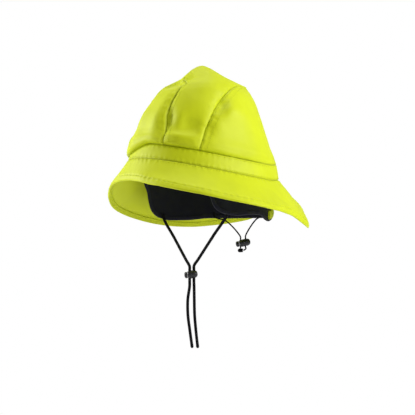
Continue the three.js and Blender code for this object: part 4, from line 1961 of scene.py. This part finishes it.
@dataclass
class Studio:
    """White sweep, soft lights and the camera at the photograph's angle.

    Angles are in degrees, distances in metres. The scale is in pixels to the
    metre at the hat, on a picture that is `pixels` square.
    """

    azimuth: float = 55.0
    elevation: float = -0.93
    distance: float = 1.9
    scale: float = 738.5
    pixels: float = 415.0
    sensor: float = 36.0
    shift_right: float = -0.0060
    shift_up: float = 0.0437
    floor: float = -0.40
    floor_radius: float = 4.0
    sweep_radius: float = 2.0
    wall_height: float = 6.0
    ambient: float = 0.09
    boxes: tuple[Softbox, ...] = (
        Softbox("key_box", (1.32, 0.86, 0.75), (0.0, 0.0, 0.02), (0.7, 0.8), 25.0),
        Softbox("rim_box", (-1.15, -1.08, 0.55), (0.0, 0.0, 0.04), (0.45, 0.9), 25.0),
        Softbox("top_box", (-0.30, 0.20, 1.63), (0.0, 0.0, 0.0), (1.0, 1.0), 10.0),
    )

    def camera(self) -> None:
        """Places the camera."""
        a, e = math.radians(self.azimuth), math.radians(self.elevation)
        back = Vector((math.sin(a) * math.cos(e), -math.cos(a) * math.cos(e), math.sin(e)))
        right = Vector((math.cos(a), math.sin(a), 0.0))
        up = back.cross(right)
        data = bpy.data.cameras.new("portrait_camera")
        data.sensor_width = self.sensor
        data.lens = self.scale * self.distance * self.sensor / self.pixels
        data.clip_end = 50.0
        obj = bpy.data.objects.new("portrait_camera", data)
        bpy.context.scene.collection.objects.link(obj)
        obj.location = back * self.distance - right * self.shift_right - up * self.shift_up
        obj.rotation_euler = back.to_track_quat("Z", "Y").to_euler()
        bpy.context.scene.camera = obj

    def light(self) -> None:
        """Hangs the softboxes and lights the room evenly; the lens sees the room as white."""
        for box in self.boxes:
            data = bpy.data.lights.new(box.name, "AREA")
            data.shape, data.energy = "RECTANGLE", box.power
            data.size, data.size_y = box.size
            obj = bpy.data.objects.new(box.name, data)
            bpy.context.scene.collection.objects.link(obj)
            obj.location = box.place
            way = Vector(box.target) - Vector(box.place)
            obj.rotation_euler = way.to_track_quat("-Z", "Y").to_euler()
        world = bpy.data.worlds.new("white_room")
        world.use_nodes = True
        g = Graph(world.node_tree)
        seen = g.node("ShaderNodeLightPath", {}, {}, "Is Camera Ray")
        limits = {"Value": seen, "To Min": self.ambient, "To Max": 1.0}
        level = g.node("ShaderNodeMapRange", {}, limits)
        room = g.node("ShaderNodeBackground", {}, {"Color": WHITE, "Strength": level})
        g.node("ShaderNodeOutputWorld", {}, {"Surface": room})
        bpy.context.scene.world = world
        bpy.context.scene.view_settings.view_transform = "Standard"

    def sweep(self) -> None:
        """Floor that curves up behind the hat on every side."""
        steps, sides = 12, 72
        turn = np.linspace(0, math.pi / 2, steps)[1:]
        flat = np.linspace(0.05, self.floor_radius, steps)
        curve = self.floor_radius + self.sweep_radius * np.sin(turn)
        radii = np.concatenate([flat, curve, [self.floor_radius + self.sweep_radius]])
        rise = self.sweep_radius * (1 - np.cos(turn))
        heights = self.floor + np.concatenate([np.zeros(steps), rise, [self.wall_height]])
        angles = np.linspace(0, 2 * math.pi, sides, endpoint=False)
        verts = [[0.0, 0.0, self.floor]]
        for r, z in zip(radii, heights):
            verts += [[r * math.cos(a), r * math.sin(a), z] for a in angles]
        faces = [(0, 1 + k, 1 + (k + 1) % sides) for k in range(sides)]
        faces += grid_faces(len(radii), sides, False, True, 1)
        mesh = bpy.data.meshes.new("studio_sweep")
        mesh.from_pydata(verts, [], [tuple(reversed(f)) for f in faces])
        mesh.materials.append(StudioPaper().material())
        mesh.shade_smooth()
        obj = bpy.data.objects.new("studio_sweep", mesh)
        bpy.context.scene.collection.objects.link(obj)

    def build(self) -> None:
        """Sets the whole studio."""
        self.camera()
        self.light()
        self.sweep()


def main() -> None:
    """Builds the studio, the cords and the hat in order."""
    logging.basicConfig(level=logging.INFO, format="%(message)s")
    form = HatForm()
    Studio().build()
    shell = ShellCloth().material()
    fleece = FlapCloth().material()
    binding = FlapCloth(
        "navy_binding", rgb(0.009, 0.0095, 0.019), rgb(0.020, 0.021, 0.042), 0.8).material()
    yellow_thread = Thread(
        "yellow_thread", rgb(0.66, 0.76, 0.02), rgb(0.42, 0.50, 0.01)).material()
    navy_thread = Thread(
        "navy_thread", rgb(0.02, 0.022, 0.035), rgb(0.008, 0.009, 0.014)).material()
    braid = BraidedCord().material()
    elastic = BraidedCord("black_elastic", strands=6.0, pitch=0.0016).material()
    Cords(form, braid, elastic, LockPlastic().material()).build()
    Crown(form, shell, yellow_thread).build()
    HeadBand(form, shell, yellow_thread).build()
    Brim(form, shell, yellow_thread).build()
    EarNeckFlap(form, fleece, binding, shell, navy_thread).build()


if __name__ == "__main__":
    main()
